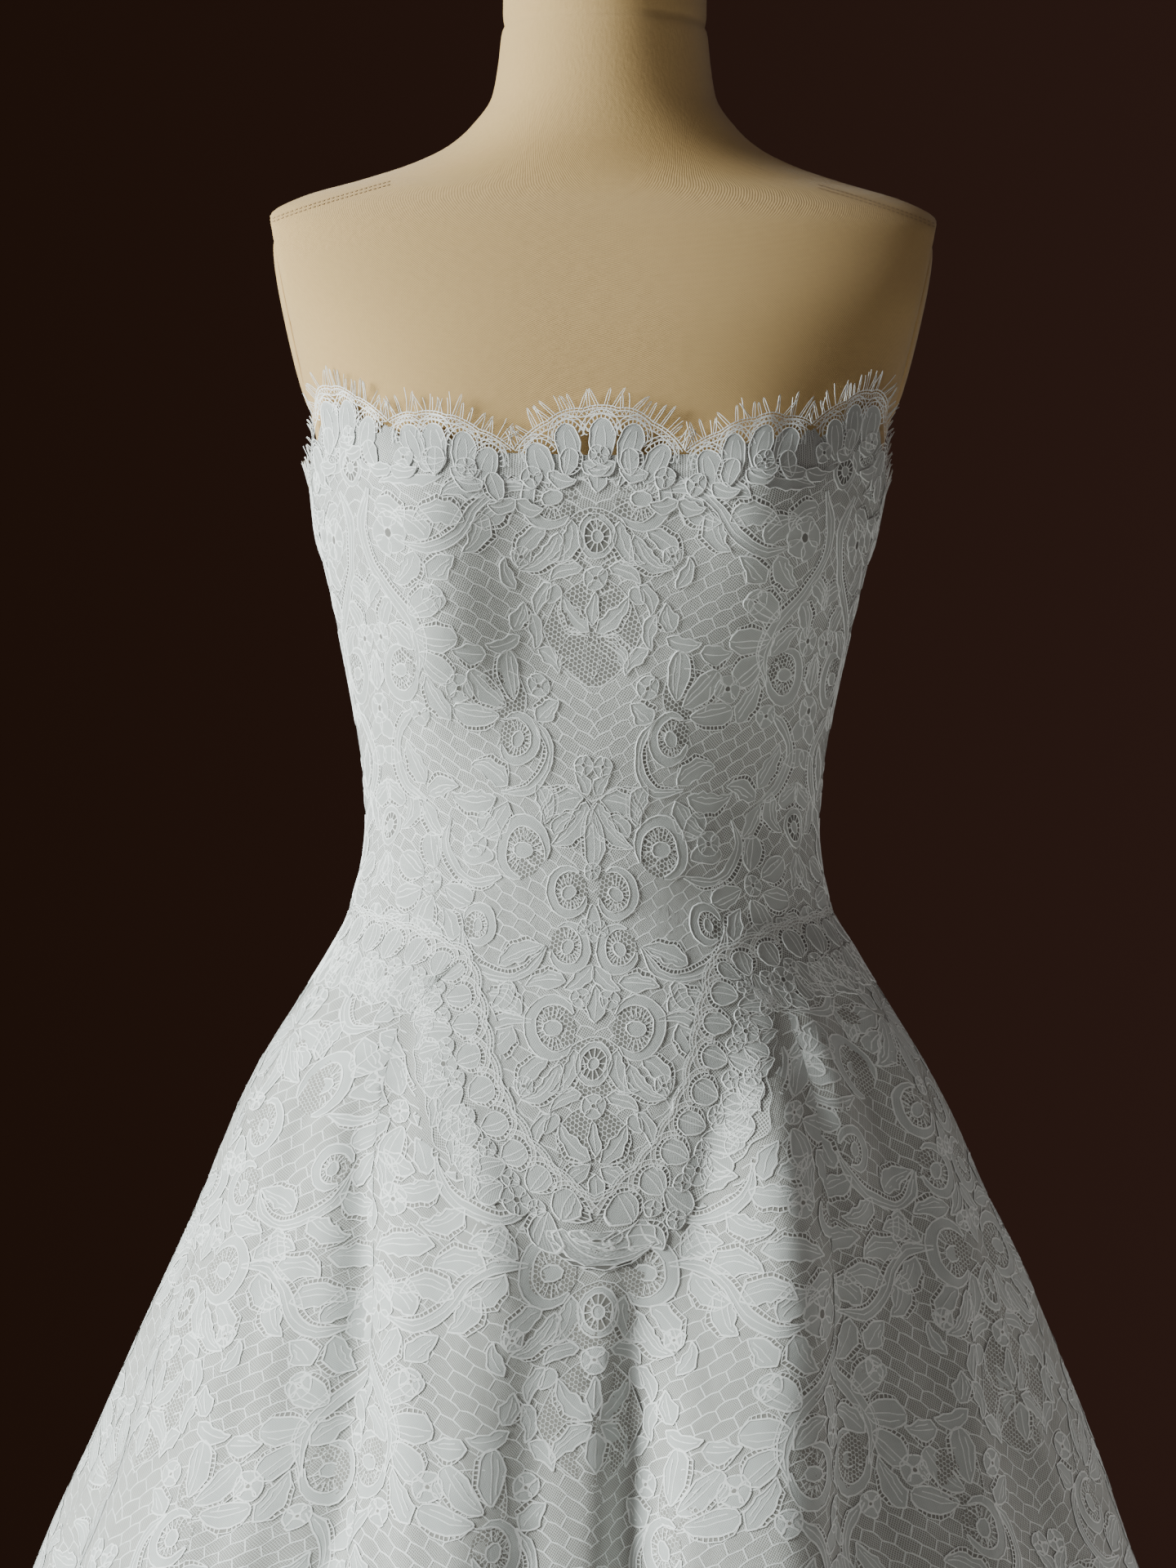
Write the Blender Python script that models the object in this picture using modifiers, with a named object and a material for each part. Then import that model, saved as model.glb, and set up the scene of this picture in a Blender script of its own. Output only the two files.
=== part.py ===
"""A strapless lace wedding dress standing on a limbless dress form.

Metres, +Z up. The origin is on the floor, under the middle of the stand. The front of the dress faces -Y
and the wearer's left is at +X. Angles go round the body from the centre front (0) through the wearer's left
side (+90) to the centre back (180), and on the wearer's right side they are negative.
"""

import math
from collections import namedtuple

import bmesh
import bpy
from mathutils import Matrix, Vector

# ---------------------------------------------------------------- driving sizes
HEM_Z = 0.015  # height of the hem above the floor
TORSO_BOTTOM_Z = 0.790
NECK_TOP_Z = 1.535
TOUCH_GAP = 0.0003  # between two pieces that touch
EDGE_GAP = 0.0007  # between two trims that meet edge to edge, measured straight up
SEAM_GAP = 0.0004  # between two panels sewn side by side
WAIST_SEAM_GAP = 0.0028  # measured straight up, because the seam runs steeply down to its point
FORM_EASE = 0.0030  # between the form's cover and the inside of the bodice

BODICE_THICK = 0.0018
LACE_THICK = 0.0012
UNDERSKIRT_THICK = 0.0012
TRIM_THICK = 0.0010
FRINGE_THICK = 0.0008
FRINGE_REACH = 0.0095
TRIM_LIFT = BODICE_THICK + 0.0020  # a trim lies on the bodice or the skirt

CUP_DEPTH = 0.008  # how far each cup stands out of the bodice
CUP_APART = 0.080  # from the centre front to the middle of a cup
CUP_WIDE = 0.042
CUP_Z = 1.215
CUP_TALL = 0.045

FOLD_REFERENCE_Z = 0.72  # the fold table gives each fold's reach at this height
FOLD_GROWTH = 0.00265  # how much a fold grows for each millimetre further down, as a share of its reach
UNDERSKIRT_FOLD_SHARE = 0.9  # the underskirt's folds are a little flatter than the lace's
UNDERSKIRT_INSET = 0.0035  # at the waist seam
UNDERSKIRT_INSET_GROWTH = 0.0042

NECK_TRIM_DEPTH = 0.030  # how far the neck trim reaches down below its lowest notch
PLACKET_HALF_ANGLE = 4.0
BUTTON_COUNT = 12
BUTTON_RADIUS = 0.0055
BUTTON_PITCH = 0.0150

ARMHOLE_LOW = (0.1580, 1.270)  # x and z where the flat armhole face begins
ARMHOLE_HIGH = (0.1860, 1.395)
ARMHOLE_PLATE_RADII = (0.031, 0.050)
ARMHOLE_PLATE_THICK = 0.005
ARMHOLE_MIDDLE_Y = 0.006
NECK_CAP_THICK = 0.008
NECK_CAP_INSET = 0.003
COLLAR_RADIUS = 0.048
COLLAR_THICK = 0.014
POLE_RADIUS = 0.0140
BASE_RADIUS = 0.205
BASE_THICK = 0.018

# ---------------------------------------------------------------- tables
Section = namedtuple("Section", "z half_width front back squareness")

# The inner face of the dress, without its folds. The waist is at 1.060, and the skirt flares out below it.
DRESS = [
    Section(0.000, 0.528, 0.442, 0.512, 2.00),
    Section(0.150, 0.480, 0.403, 0.458, 2.00),
    Section(0.300, 0.431, 0.361, 0.402, 2.00),
    Section(0.500, 0.360, 0.298, 0.324, 2.00),
    Section(0.643, 0.306, 0.243, 0.265, 2.02),
    Section(0.768, 0.256, 0.186, 0.210, 2.05),
    Section(0.850, 0.219, 0.148, 0.173, 2.10),
    Section(0.905, 0.193, 0.125, 0.148, 2.15),
    Section(0.960, 0.160, 0.106, 0.118, 2.20),
    Section(0.985, 0.144, 0.098, 0.105, 2.20),
    Section(1.010, 0.130, 0.092, 0.095, 2.20),
    Section(1.035, 0.126, 0.091, 0.090, 2.20),
    Section(1.060, 0.125, 0.090, 0.089, 2.20),
    Section(1.090, 0.128, 0.094, 0.091, 2.22),
    Section(1.150, 0.139, 0.108, 0.098, 2.30),
    Section(1.200, 0.149, 0.121, 0.104, 2.40),
    Section(1.225, 0.154, 0.123, 0.106, 2.45),
    Section(1.250, 0.158, 0.118, 0.107, 2.50),
    Section(1.279, 0.164, 0.109, 0.107, 2.55),
    Section(1.300, 0.172, 0.101, 0.107, 2.60),
    Section(1.325, 0.180, 0.091, 0.106, 2.60),
]

# The form's cover below the bodice.
FORM_HIPS = [
    Section(0.790, 0.146, 0.092, 0.115, 2.20),
    Section(0.820, 0.156, 0.098, 0.124, 2.20),
    Section(0.860, 0.163, 0.101, 0.128, 2.20),
    Section(0.900, 0.161, 0.100, 0.121, 2.20),
    Section(0.940, 0.151, 0.096, 0.108, 2.20),
    Section(0.975, 0.138, 0.091, 0.097, 2.20),
]
BODICE_ROWS_ON_FORM = (1.005, 1.330)  # between these the form is the bodice's inside, less the ease

# The form's cover above the bodice. The sides stand out past the armhole faces, which cut them flat.
FORM_SHOULDERS = [
    Section(1.345, 0.185, 0.078, 0.099, 2.60),
    Section(1.365, 0.189, 0.068, 0.094, 2.50),
    Section(1.385, 0.190, 0.058, 0.084, 2.35),
    Section(1.395, 0.185, 0.052, 0.077, 2.20),
    Section(1.404, 0.168, 0.047, 0.069, 2.10),
    Section(1.413, 0.137, 0.045, 0.064, 2.00),
    Section(1.422, 0.109, 0.046, 0.062, 2.00),
    Section(1.432, 0.088, 0.049, 0.061, 2.00),
    Section(1.443, 0.075, 0.051, 0.061, 2.00),
    Section(1.461, 0.0625, 0.053, 0.060, 2.00),
    Section(1.4795, 0.0592, 0.054, 0.0585, 2.00),
    Section(1.496, 0.0574, 0.0545, 0.0575, 2.00),
    Section(1.501, 0.0562, 0.0535, 0.0565, 2.00),
    Section(1.507, 0.0568, 0.0540, 0.0570, 2.00),
    Section(1.535, 0.0565, 0.0540, 0.0570, 2.00),
]

# The rings that make the form's cover: closer together at the bust, the shoulders and the neck.
Run = namedtuple("Run", "low high steps")
TORSO_RINGS = [
    Run(TORSO_BOTTOM_Z, 0.940, 4),
    Run(0.970, 1.270, 12),
    Run(1.295, 1.385, 4),
    Run(1.392, 1.434, 7),
    Run(1.443, 1.461, 2),
    Run(1.478, 1.494, 1),
    Run(1.501, 1.508, 1),
]
TORSO_SIDES = 36

# Skirt folds: a crest stands out of the smooth skirt and a valley goes in. reach is in metres at
# FOLD_REFERENCE_Z, and start is the height where the fold begins. The angles hold from the lowest row of
# FOLD_HANG down to the hem.
Fold = namedtuple("Fold", "angle reach start")
FOLDS = [
    Fold(-180, 0.010, 0.94),
    Fold(-170, -0.012, 0.93),
    Fold(-161, 0.016, 0.95),
    Fold(-150, -0.014, 0.94),
    Fold(-139, 0.015, 0.95),
    Fold(-127, -0.013, 0.93),
    Fold(-116, 0.013, 0.95),
    Fold(-103, -0.014, 0.94),
    Fold(-90, 0.002, 0.95),
    Fold(-74, -0.009, 0.93),
    Fold(-57, 0.007, 0.94),
    Fold(-40, 0.010, 0.94),
    Fold(-29, -0.014, 0.93),
    Fold(-21.5, 0.015, 0.95),
    Fold(-14, 0.010, 0.92),
    Fold(-7, -0.009, 0.90),
    Fold(-1.5, 0.003, 0.84),
    Fold(4.3, -0.015, 0.85),
    Fold(10.5, 0.015, 0.88),
    Fold(21.5, 0.014, 0.95),
    Fold(29.5, -0.015, 0.95),
    Fold(41, 0.009, 0.94),
    Fold(56, -0.008, 0.93),
    Fold(73, 0.005, 0.93),
    Fold(90, 0.002, 0.95),
    Fold(102, -0.013, 0.94),
    Fold(114, 0.014, 0.95),
    Fold(126, -0.013, 0.93),
    Fold(138, 0.016, 0.95),
    Fold(149, -0.014, 0.94),
    Fold(160, 0.015, 0.95),
    Fold(171, -0.012, 0.93),
    Fold(180, 0.010, 0.94),
]

# The front folds hang more upright than the skirt flares, so they start further round the hips. moved_in is
# the share of the angle that they have moved in by at each height.
Hang = namedtuple("Hang", "z moved_in")
FOLD_HANG = [Hang(0.695, 0.0), Hang(0.786, 0.146), Hang(0.923, 0.347), Hang(0.960, 0.370)]
FRONT_STEPS_A_FOLD, BACK_STEPS_A_FOLD = 3, 2

# The top edge of the sewn bodice, under its lace trim, on either side of the centre front.
TopEdge = namedtuple("TopEdge", "angle z")
BODICE_TOP = [
    TopEdge(0, 1.249),
    TopEdge(25, 1.251),
    TopEdge(45, 1.258),
    TopEdge(58, 1.270),
    TopEdge(75, 1.252),
    TopEdge(92, 1.228),
    TopEdge(120, 1.205),
    TopEdge(150, 1.192),
    TopEdge(180, 1.184),
]

# The scallops of the neck trim, notch by notch and peak by peak.
Scallop = namedtuple("Scallop", "angle z is_peak")
NECK_SCALLOPS = [
    Scallop(0, 1.2780, True),
    Scallop(12, 1.2548, False),
    Scallop(30, 1.2758, True),
    Scallop(39, 1.2720, False),
    Scallop(57, 1.2930, True),
    Scallop(76, 1.2510, False),
    Scallop(91, 1.2420, True),
    Scallop(104, 1.2205, False),
    Scallop(119, 1.2320, True),
    Scallop(133, 1.2080, False),
    Scallop(148, 1.2150, True),
    Scallop(163, 1.1950, False),
    Scallop(180, 1.2030, True),
]

# The pointed waist: the seam between bodice and skirt, and the edges of the lace trim that covers it.
Waist = namedtuple("Waist", "angle trim_top seam trim_bottom")
WAIST = [
    Waist(0, 0.862, 0.830, 0.810),
    Waist(6, 0.884, 0.843, 0.818),
    Waist(12, 0.916, 0.868, 0.838),
    Waist(18, 0.962, 0.908, 0.866),
    Waist(24, 0.988, 0.937, 0.893),
    Waist(32, 0.996, 0.953, 0.913),
    Waist(48, 1.004, 0.970, 0.937),
    Waist(70, 1.010, 0.984, 0.954),
    Waist(90, 1.013, 0.990, 0.961),
    Waist(135, 1.008, 0.985, 0.956),
    Waist(180, 0.994, 0.970, 0.942),
]

# Seams of the bodice and of the skirt, as angles from the centre front.
FRONT_PRINCESS, SIDE_SEAM, BACK_PRINCESS = 32, 90, 140
Panel = namedtuple("Panel", "name start end columns")
BODICE_PANELS = [
    Panel("bodice_centre_front", -FRONT_PRINCESS, FRONT_PRINCESS, 14),
    Panel("bodice_side_front_left", FRONT_PRINCESS, SIDE_SEAM, 7),
    Panel("bodice_side_front_right", -SIDE_SEAM, -FRONT_PRINCESS, 7),
    Panel("bodice_side_back_left", SIDE_SEAM, BACK_PRINCESS, 6),
    Panel("bodice_side_back_right", -BACK_PRINCESS, -SIDE_SEAM, 6),
    Panel("bodice_back_left", BACK_PRINCESS, 180, 5),
    Panel("bodice_back_right", -180, -BACK_PRINCESS, 5),
]
BODICE_RISE = [0, 0.07, 0.15, 0.25, 0.38, 0.5, 0.62, 0.72, 0.82, 0.91, 1]  # closer rows at the hips and cups

Gore = namedtuple("Gore", "name start end")
SKIRT_GORES = [
    Gore("skirt_lace_front", -25.3, 25.5),
    Gore("skirt_lace_side_front_left", 25.5, 90),
    Gore("skirt_lace_side_front_right", -90, -25.3),
    Gore("skirt_lace_side_back_left", 90, 138),
    Gore("skirt_lace_side_back_right", -139, -90),
    Gore("skirt_lace_back_left", 138, 180),
    Gore("skirt_lace_back_right", -180, -139),
]
UNDERSKIRT_GORES = [
    Gore("underskirt_front", -25.3, 25.5),
    Gore("underskirt_left", 25.5, 138),
    Gore("underskirt_right", -139, -25.3),
    Gore("underskirt_back", 138, 221),
]
SKIRT_RISE = [0, 0.3, 0.55, 0.72, 0.84, 0.93, 1]  # from the hem to the waist seam
UNDERSKIRT_RISE = [0, 0.4, 0.7, 0.87, 1]

TRIM_SIDES = [
    Panel("neck_trim_front", -52, 52, 32),
    Panel("neck_trim_left", 52, 180, 30),
    Panel("neck_trim_right", -180, -52, 30),
]
WAIST_TRIM_SIDES = [
    Panel("waist_trim_front_left", 0, 90, 28),
    Panel("waist_trim_front_right", -90, 0, 28),
    Panel("waist_trim_back_left", 90, 180, 11),
    Panel("waist_trim_back_right", -180, -90, 11),
]

# Colours of the finishes: red, green, blue, then roughness and metallic.
Finish = namedtuple("Finish", "red green blue roughness metallic")
FINISHES = {
    "lace": Finish(0.86, 0.87, 0.85, 0.75, 0.0),
    "satin": Finish(0.82, 0.81, 0.77, 0.50, 0.0),
    "form_cover": Finish(0.62, 0.50, 0.36, 0.90, 0.0),
    "wood": Finish(0.50, 0.34, 0.20, 0.50, 0.0),
    "steel": Finish(0.60, 0.60, 0.60, 0.35, 1.0),
    "painted_steel": Finish(0.78, 0.76, 0.72, 0.45, 0.0),
}


# ---------------------------------------------------------------- curves through the tables
def smooth_between(places, values, at):
    """A cubic through the rows that never swings past them. Places rise."""
    if at <= places[0]:
        return values[0]
    if at >= places[-1]:
        return values[-1]
    step = max(i for i in range(len(places) - 1) if places[i] <= at)
    widths = [places[i + 1] - places[i] for i in range(len(places) - 1)]
    slopes = [(values[i + 1] - values[i]) / widths[i] for i in range(len(widths))]

    def tangent(i):
        if i == 0:
            return slopes[0]
        if i == len(slopes):
            return slopes[-1]
        before, after = slopes[i - 1], slopes[i]
        if before * after <= 0:
            return 0.0
        return 2 * before * after / (before + after)

    t = (at - places[step]) / widths[step]
    rise = (2 * t**3 - 3 * t**2 + 1) * values[step] + (3 * t**2 - 2 * t**3) * values[step + 1]
    lean = (t**3 - 2 * t**2 + t) * tangent(step) + (t**3 - t**2) * tangent(step + 1)
    return rise + lean * widths[step]


def section_at(rows, z):
    places = [row.z for row in rows]
    values = [smooth_between(places, [row[k] for row in rows], z) for k in range(1, 5)]
    return Section(z, *values)


def even_table(rows, column, angle):
    """A value from a table that is the same on both sides of the body."""
    angle = abs((angle + 180) % 360 - 180)
    return smooth_between([row.angle for row in rows], [getattr(row, column) for row in rows], angle)


def bodice_top(angle):
    return even_table(BODICE_TOP, "z", angle)


def waist_seam(angle):
    return even_table(WAIST, "seam", angle)


def scallop_edge(angle):
    """Round arches between pointed notches."""
    angle = abs((angle + 180) % 360 - 180)
    for first, second in zip(NECK_SCALLOPS, NECK_SCALLOPS[1:]):
        if first.angle <= angle <= second.angle:
            share = (angle - first.angle) / (second.angle - first.angle)
            notch, peak = (second, first) if first.is_peak else (first, second)
            from_notch = 1 - share if first.is_peak else share
            return notch.z + (peak.z - notch.z) * math.sin(math.pi / 2 * from_notch)
    return NECK_SCALLOPS[-1].z


def neck_trim_bottom(angle):
    return bodice_top(angle) - NECK_TRIM_DEPTH


# ---------------------------------------------------------------- surfaces
def signed_power(value, power):
    return math.copysign(abs(value) ** power, value)


def on_section(section, angle):
    """The point of a rounded-rectangle section in the direction of this angle."""
    turn = math.radians(angle)
    power = 2 / section.squareness
    depth = section.front if math.cos(turn) > 0 else section.back
    x = section.half_width * signed_power(math.sin(turn), power)
    y = -depth * signed_power(math.cos(turn), power)
    return Vector((x, y, section.z))


def with_cups(point):
    """The cups push the front out on either side of the centre."""
    if point.y > 0:
        return point
    across = (abs(point.x) - CUP_APART) / CUP_WIDE
    up = (point.z - CUP_Z) / CUP_TALL
    return point - Vector((0, CUP_DEPTH * math.exp(-across * across - up * up), 0))


def fold_growth(start, z):
    """0 above the fold's start, 1 at the reference height and more below it."""
    if z >= start:
        return 0.0
    if z >= FOLD_REFERENCE_Z:
        t = (start - z) / (start - FOLD_REFERENCE_Z)
        return t * t * (3 - 2 * t)
    return 1 + FOLD_GROWTH * 1000 * (FOLD_REFERENCE_Z - z)


def fold_angle(body_angle, z):
    """The angle in the fold table of what passes this body angle at this height."""
    body_angle = (body_angle + 180) % 360 - 180
    if abs(body_angle) >= 90:
        return body_angle
    moved_in = smooth_between([row.z for row in FOLD_HANG], [row.moved_in for row in FOLD_HANG], z)
    return body_angle * (1 - moved_in * (1 - (body_angle / 90) ** 2))


def body_angle_of(angle, z):
    """Where a fold of the table is at this height: the inverse of fold_angle."""
    turns = angle - ((angle + 180) % 360 - 180)
    wanted = angle - turns
    low, high = -180.0, 180.0
    for _ in range(40):
        middle = (low + high) / 2
        if fold_angle(min(middle, 179.999), z) < wanted:
            low = middle
        else:
            high = middle
    return turns + (low + high) / 2


def fold_reach(body_angle, z):
    angle = fold_angle(body_angle, z)
    for first, second in zip(FOLDS, FOLDS[1:]):
        if first.angle <= angle <= second.angle:
            t = (angle - first.angle) / (second.angle - first.angle)
            blend = (1 - math.cos(math.pi * t)) / 2
            return (first.reach * fold_growth(first.start, z) * (1 - blend)
                    + second.reach * fold_growth(second.start, z) * blend)
    return 0.0


def dress_point(angle, z, fold_share=1.0, inset=0.0):
    """A point of the inner face of the bodice or the skirt."""
    point = with_cups(on_section(section_at(DRESS, z), angle))
    turn = math.radians(angle)
    outwards = Vector((math.sin(turn), -math.cos(turn), 0))
    return point + outwards * (fold_reach(angle, z) * fold_share - inset)


def skirt_point(angle, z):
    """As dress_point, for an angle of the fold table."""
    return dress_point(body_angle_of(angle, z), z)


def underskirt_point(angle, z):
    around = body_angle_of(angle, z)
    grown = fold_growth(waist_seam(around), z)
    return dress_point(around, z, UNDERSKIRT_FOLD_SHARE,
                       UNDERSKIRT_INSET + UNDERSKIRT_THICK + UNDERSKIRT_INSET_GROWTH * grown)


def skirt_top(angle):
    """The height where a fold of the table meets the waist seam."""
    z = waist_seam(angle)
    for _ in range(12):
        z = waist_seam(body_angle_of(angle, z))
    return z


def outward_normal(surface, angle, z):
    step_angle, step_z = 0.5, 0.002
    round_it = surface(angle + step_angle, z) - surface(angle - step_angle, z)
    up_it = surface(angle, z + step_z) - surface(angle, z - step_z)
    return round_it.cross(up_it).normalized()


def lifted(height):
    """The dress's surface moved out, for what lies on a panel."""

    def place(angle, z):
        return dress_point(angle, z) + outward_normal(dress_point, angle, z) * height

    return place


# ---------------------------------------------------------------- making objects
def clear_scene():
    for found in list(bpy.data.objects):
        bpy.data.objects.remove(found)


def collection_named(name):
    made = bpy.data.collections.new(name)
    bpy.context.scene.collection.children.link(made)
    return made


def material_named(name):
    known = bpy.data.materials.get(name)
    if known:
        return known
    finish = FINISHES[name]
    made = bpy.data.materials.new(name)
    made.use_nodes = True
    shader = made.node_tree.nodes["Principled BSDF"]
    shader.inputs["Base Color"].default_value = (finish.red, finish.green, finish.blue, 1)
    shader.inputs["Roughness"].default_value = finish.roughness
    shader.inputs["Metallic"].default_value = finish.metallic
    return made


def object_from(name, mesh, material, collection):
    made = bpy.data.objects.new(name, mesh)
    made.data.materials.append(material_named(material))
    collection.objects.link(made)
    return made


def spaced(start, end, count):
    return [start + (end - start) * i / count for i in range(count + 1)]


def seam_angle(gap, radius):
    """Half of a seam's gap, as an angle at this radius."""
    return math.degrees(gap / 2 / radius)


def cloth_wall(name, angles, low, high, rise, place, thickness, material, collection):
    """A wall of cloth: a grid over these angles, from low(angle) up to high(angle), thickened outwards."""
    grid = bmesh.new()
    rows = []
    for share in rise:
        heights = [low(angle) + (high(angle) - low(angle)) * share for angle in angles]
        rows.append([grid.verts.new(place(angle, z)) for angle, z in zip(angles, heights)])
    for lower, upper in zip(rows, rows[1:]):
        for i in range(len(angles) - 1):
            grid.faces.new((lower[i], lower[i + 1], upper[i + 1], upper[i]))
    mesh = bpy.data.meshes.new(name)
    grid.to_mesh(mesh)
    grid.free()
    mesh.shade_smooth()
    made = object_from(name, mesh, material, collection)
    solid = made.modifiers.new("cloth thickness", "SOLIDIFY")
    solid.thickness = thickness
    solid.offset = 1
    return made


def bevelled(made, width, segments=2):
    bevel = made.modifiers.new("rounded edge", "BEVEL")
    bevel.width = width
    bevel.segments = segments
    bevel.limit_method = "ANGLE"


def round_piece(name, radius, depth, place, material, collection, sides=32):
    """An upright disc or rod. place is the middle of its underside."""
    shape = bmesh.new()
    middle = Matrix.Translation(Vector(place) + Vector((0, 0, depth / 2)))
    bmesh.ops.create_cone(shape, cap_ends=True, segments=sides, radius1=radius, radius2=radius,
                          depth=depth, matrix=middle)
    mesh = bpy.data.meshes.new(name)
    shape.to_mesh(mesh)
    shape.free()
    mesh.shade_smooth()
    mesh.set_sharp_from_angle(angle=math.radians(40))
    return object_from(name, mesh, material, collection)


# ---------------------------------------------------------------- the dress
def build_bodice(collection):
    half_seam = seam_angle(SEAM_GAP, 0.13)
    for panel in BODICE_PANELS:
        angles = spaced(panel.start + half_seam, panel.end - half_seam, panel.columns)
        cloth_wall(panel.name, angles, lambda a: waist_seam(a) + WAIST_SEAM_GAP, bodice_top,
                   BODICE_RISE, dress_point, BODICE_THICK, "lace", collection)


def fold_columns(start, end, half_seam):
    """Angles that follow the folds, a few to each half fold, inside a gore's two seams."""
    first_round = [fold.angle for fold in FOLDS]
    turns = first_round + [angle + 360 for angle in first_round[1:]]
    turns = [start] + [angle for angle in turns if start < angle < end] + [end]
    angles = []
    for first, second in zip(turns, turns[1:]):
        at_front = abs((first + 180) % 360 - 180) < 90
        angles += spaced(first, second, FRONT_STEPS_A_FOLD if at_front else BACK_STEPS_A_FOLD)[:-1]
    angles.append(end)
    angles[0] += half_seam
    angles[-1] -= half_seam
    return angles


def build_skirt(collection):
    half_seam = seam_angle(SEAM_GAP, 0.14)
    for gore in SKIRT_GORES:
        columns = fold_columns(gore.start, gore.end, half_seam)
        cloth_wall(gore.name, columns, lambda a: HEM_Z, skirt_top,
                   SKIRT_RISE, skirt_point, LACE_THICK, "lace", collection)
    for gore in UNDERSKIRT_GORES:
        columns = fold_columns(gore.start, gore.end, half_seam)
        cloth_wall(gore.name, columns, lambda a: HEM_Z, skirt_top,
                   UNDERSKIRT_RISE, underskirt_point, UNDERSKIRT_THICK, "satin", collection)


def build_neck_trim(collection):
    """The scalloped lace edge over the top of the bodice, and the reach of its eyelash fringe."""
    half_seam = seam_angle(SEAM_GAP, 0.12)
    for side in TRIM_SIDES:
        angles = spaced(side.start + half_seam, side.end - half_seam, side.columns)
        rise = [0, 0.5, 1] if side.start < 0 < side.end else [0, 1]
        cloth_wall(side.name, angles, neck_trim_bottom, scallop_edge, rise,
                   lifted(TRIM_LIFT), TRIM_THICK, "lace", collection)
        cloth_wall(side.name.replace("trim", "fringe"), angles, lambda a: scallop_edge(a) + EDGE_GAP,
                   lambda a: scallop_edge(a) + FRINGE_REACH, [0, 1],
                   lifted(TRIM_LIFT), FRINGE_THICK, "lace", collection)


def build_waist_trim(collection):
    half_seam = seam_angle(2 * SEAM_GAP, 0.14)
    for side in WAIST_TRIM_SIDES:
        angles = spaced(side.start + half_seam, side.end - half_seam, side.columns)
        cloth_wall(side.name, angles, lambda a: even_table(WAIST, "trim_bottom", a),
                   lambda a: even_table(WAIST, "trim_top", a), [0, 0.33, 0.67, 1],
                   lifted(TRIM_LIFT), TRIM_THICK, "lace", collection)


def build_back_closure(collection):
    """A narrow placket down the centre back, with a row of covered buttons."""

    def low(angle):
        return even_table(WAIST, "trim_top", angle) + EDGE_GAP

    def top(angle):
        return neck_trim_bottom(angle) - EDGE_GAP

    cloth_wall("back_placket", spaced(180 - PLACKET_HALF_ANGLE, 180 + PLACKET_HALF_ANGLE, 4),
               low, top, spaced(0, 1, 8), lifted(TRIM_LIFT), TRIM_THICK, "lace", collection)
    on_placket = lifted(TRIM_LIFT + TRIM_THICK + 3 * TOUCH_GAP)
    run = BUTTON_PITCH * (BUTTON_COUNT - 1)
    lowest = (low(180) + top(180) - run) / 2
    for i in range(BUTTON_COUNT):
        z = lowest + i * BUTTON_PITCH
        name = f"back_button_{i + 1:02d}"
        shape = bmesh.new()
        bmesh.ops.create_uvsphere(shape, u_segments=10, v_segments=6, radius=BUTTON_RADIUS)
        below = [v for v in shape.verts if v.co.z < -1e-6]
        bmesh.ops.delete(shape, geom=below, context="VERTS")
        rim = [edge for edge in shape.edges if edge.is_boundary]
        bmesh.ops.contextual_create(shape, geom=rim)
        bmesh.ops.recalc_face_normals(shape, faces=shape.faces)
        mesh = bpy.data.meshes.new(name)
        shape.to_mesh(mesh)
        shape.free()
        mesh.shade_smooth()
        button = object_from(name, mesh, "lace", collection)
        button.location = on_placket(180, z)
        button.rotation_mode = "QUATERNION"
        button.rotation_quaternion = outward_normal(dress_point, 180, z).to_track_quat("Z", "Y")


# ---------------------------------------------------------------- the dress form
def form_rows():
    eased = [
        Section(row.z, row.half_width - FORM_EASE, row.front - FORM_EASE, row.back - FORM_EASE,
                row.squareness)
        for row in DRESS
        if BODICE_ROWS_ON_FORM[0] < row.z < BODICE_ROWS_ON_FORM[1]
    ]
    return FORM_HIPS + eased + FORM_SHOULDERS


def armhole_cutter(side, collection):
    """A block whose inner face is the flat, slightly leaning armhole."""
    low, high = Vector(ARMHOLE_LOW), Vector(ARMHOLE_HIGH)
    lean = math.atan2(high.x - low.x, high.y - low.y)
    middle = (low + high) / 2
    size = 0.4
    shape = bmesh.new()
    bmesh.ops.create_cube(shape, size=size)
    bmesh.ops.translate(shape, verts=shape.verts, vec=(size / 2, 0, 0))
    bmesh.ops.rotate(shape, verts=shape.verts, cent=(0, 0, 0), matrix=Matrix.Rotation(lean, 3, "Y"))
    bmesh.ops.translate(shape, verts=shape.verts, vec=(middle.x, 0, middle.y))
    if side < 0:
        bmesh.ops.scale(shape, verts=shape.verts, vec=(-1, 1, 1))
        bmesh.ops.reverse_faces(shape, faces=shape.faces)
    mesh = bpy.data.meshes.new("armhole_cutter")
    shape.to_mesh(mesh)
    shape.free()
    cutter = bpy.data.objects.new("armhole_cutter", mesh)
    cutter.hide_render = True
    cutter.display_type = "WIRE"
    collection.objects.link(cutter)
    return cutter


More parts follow.
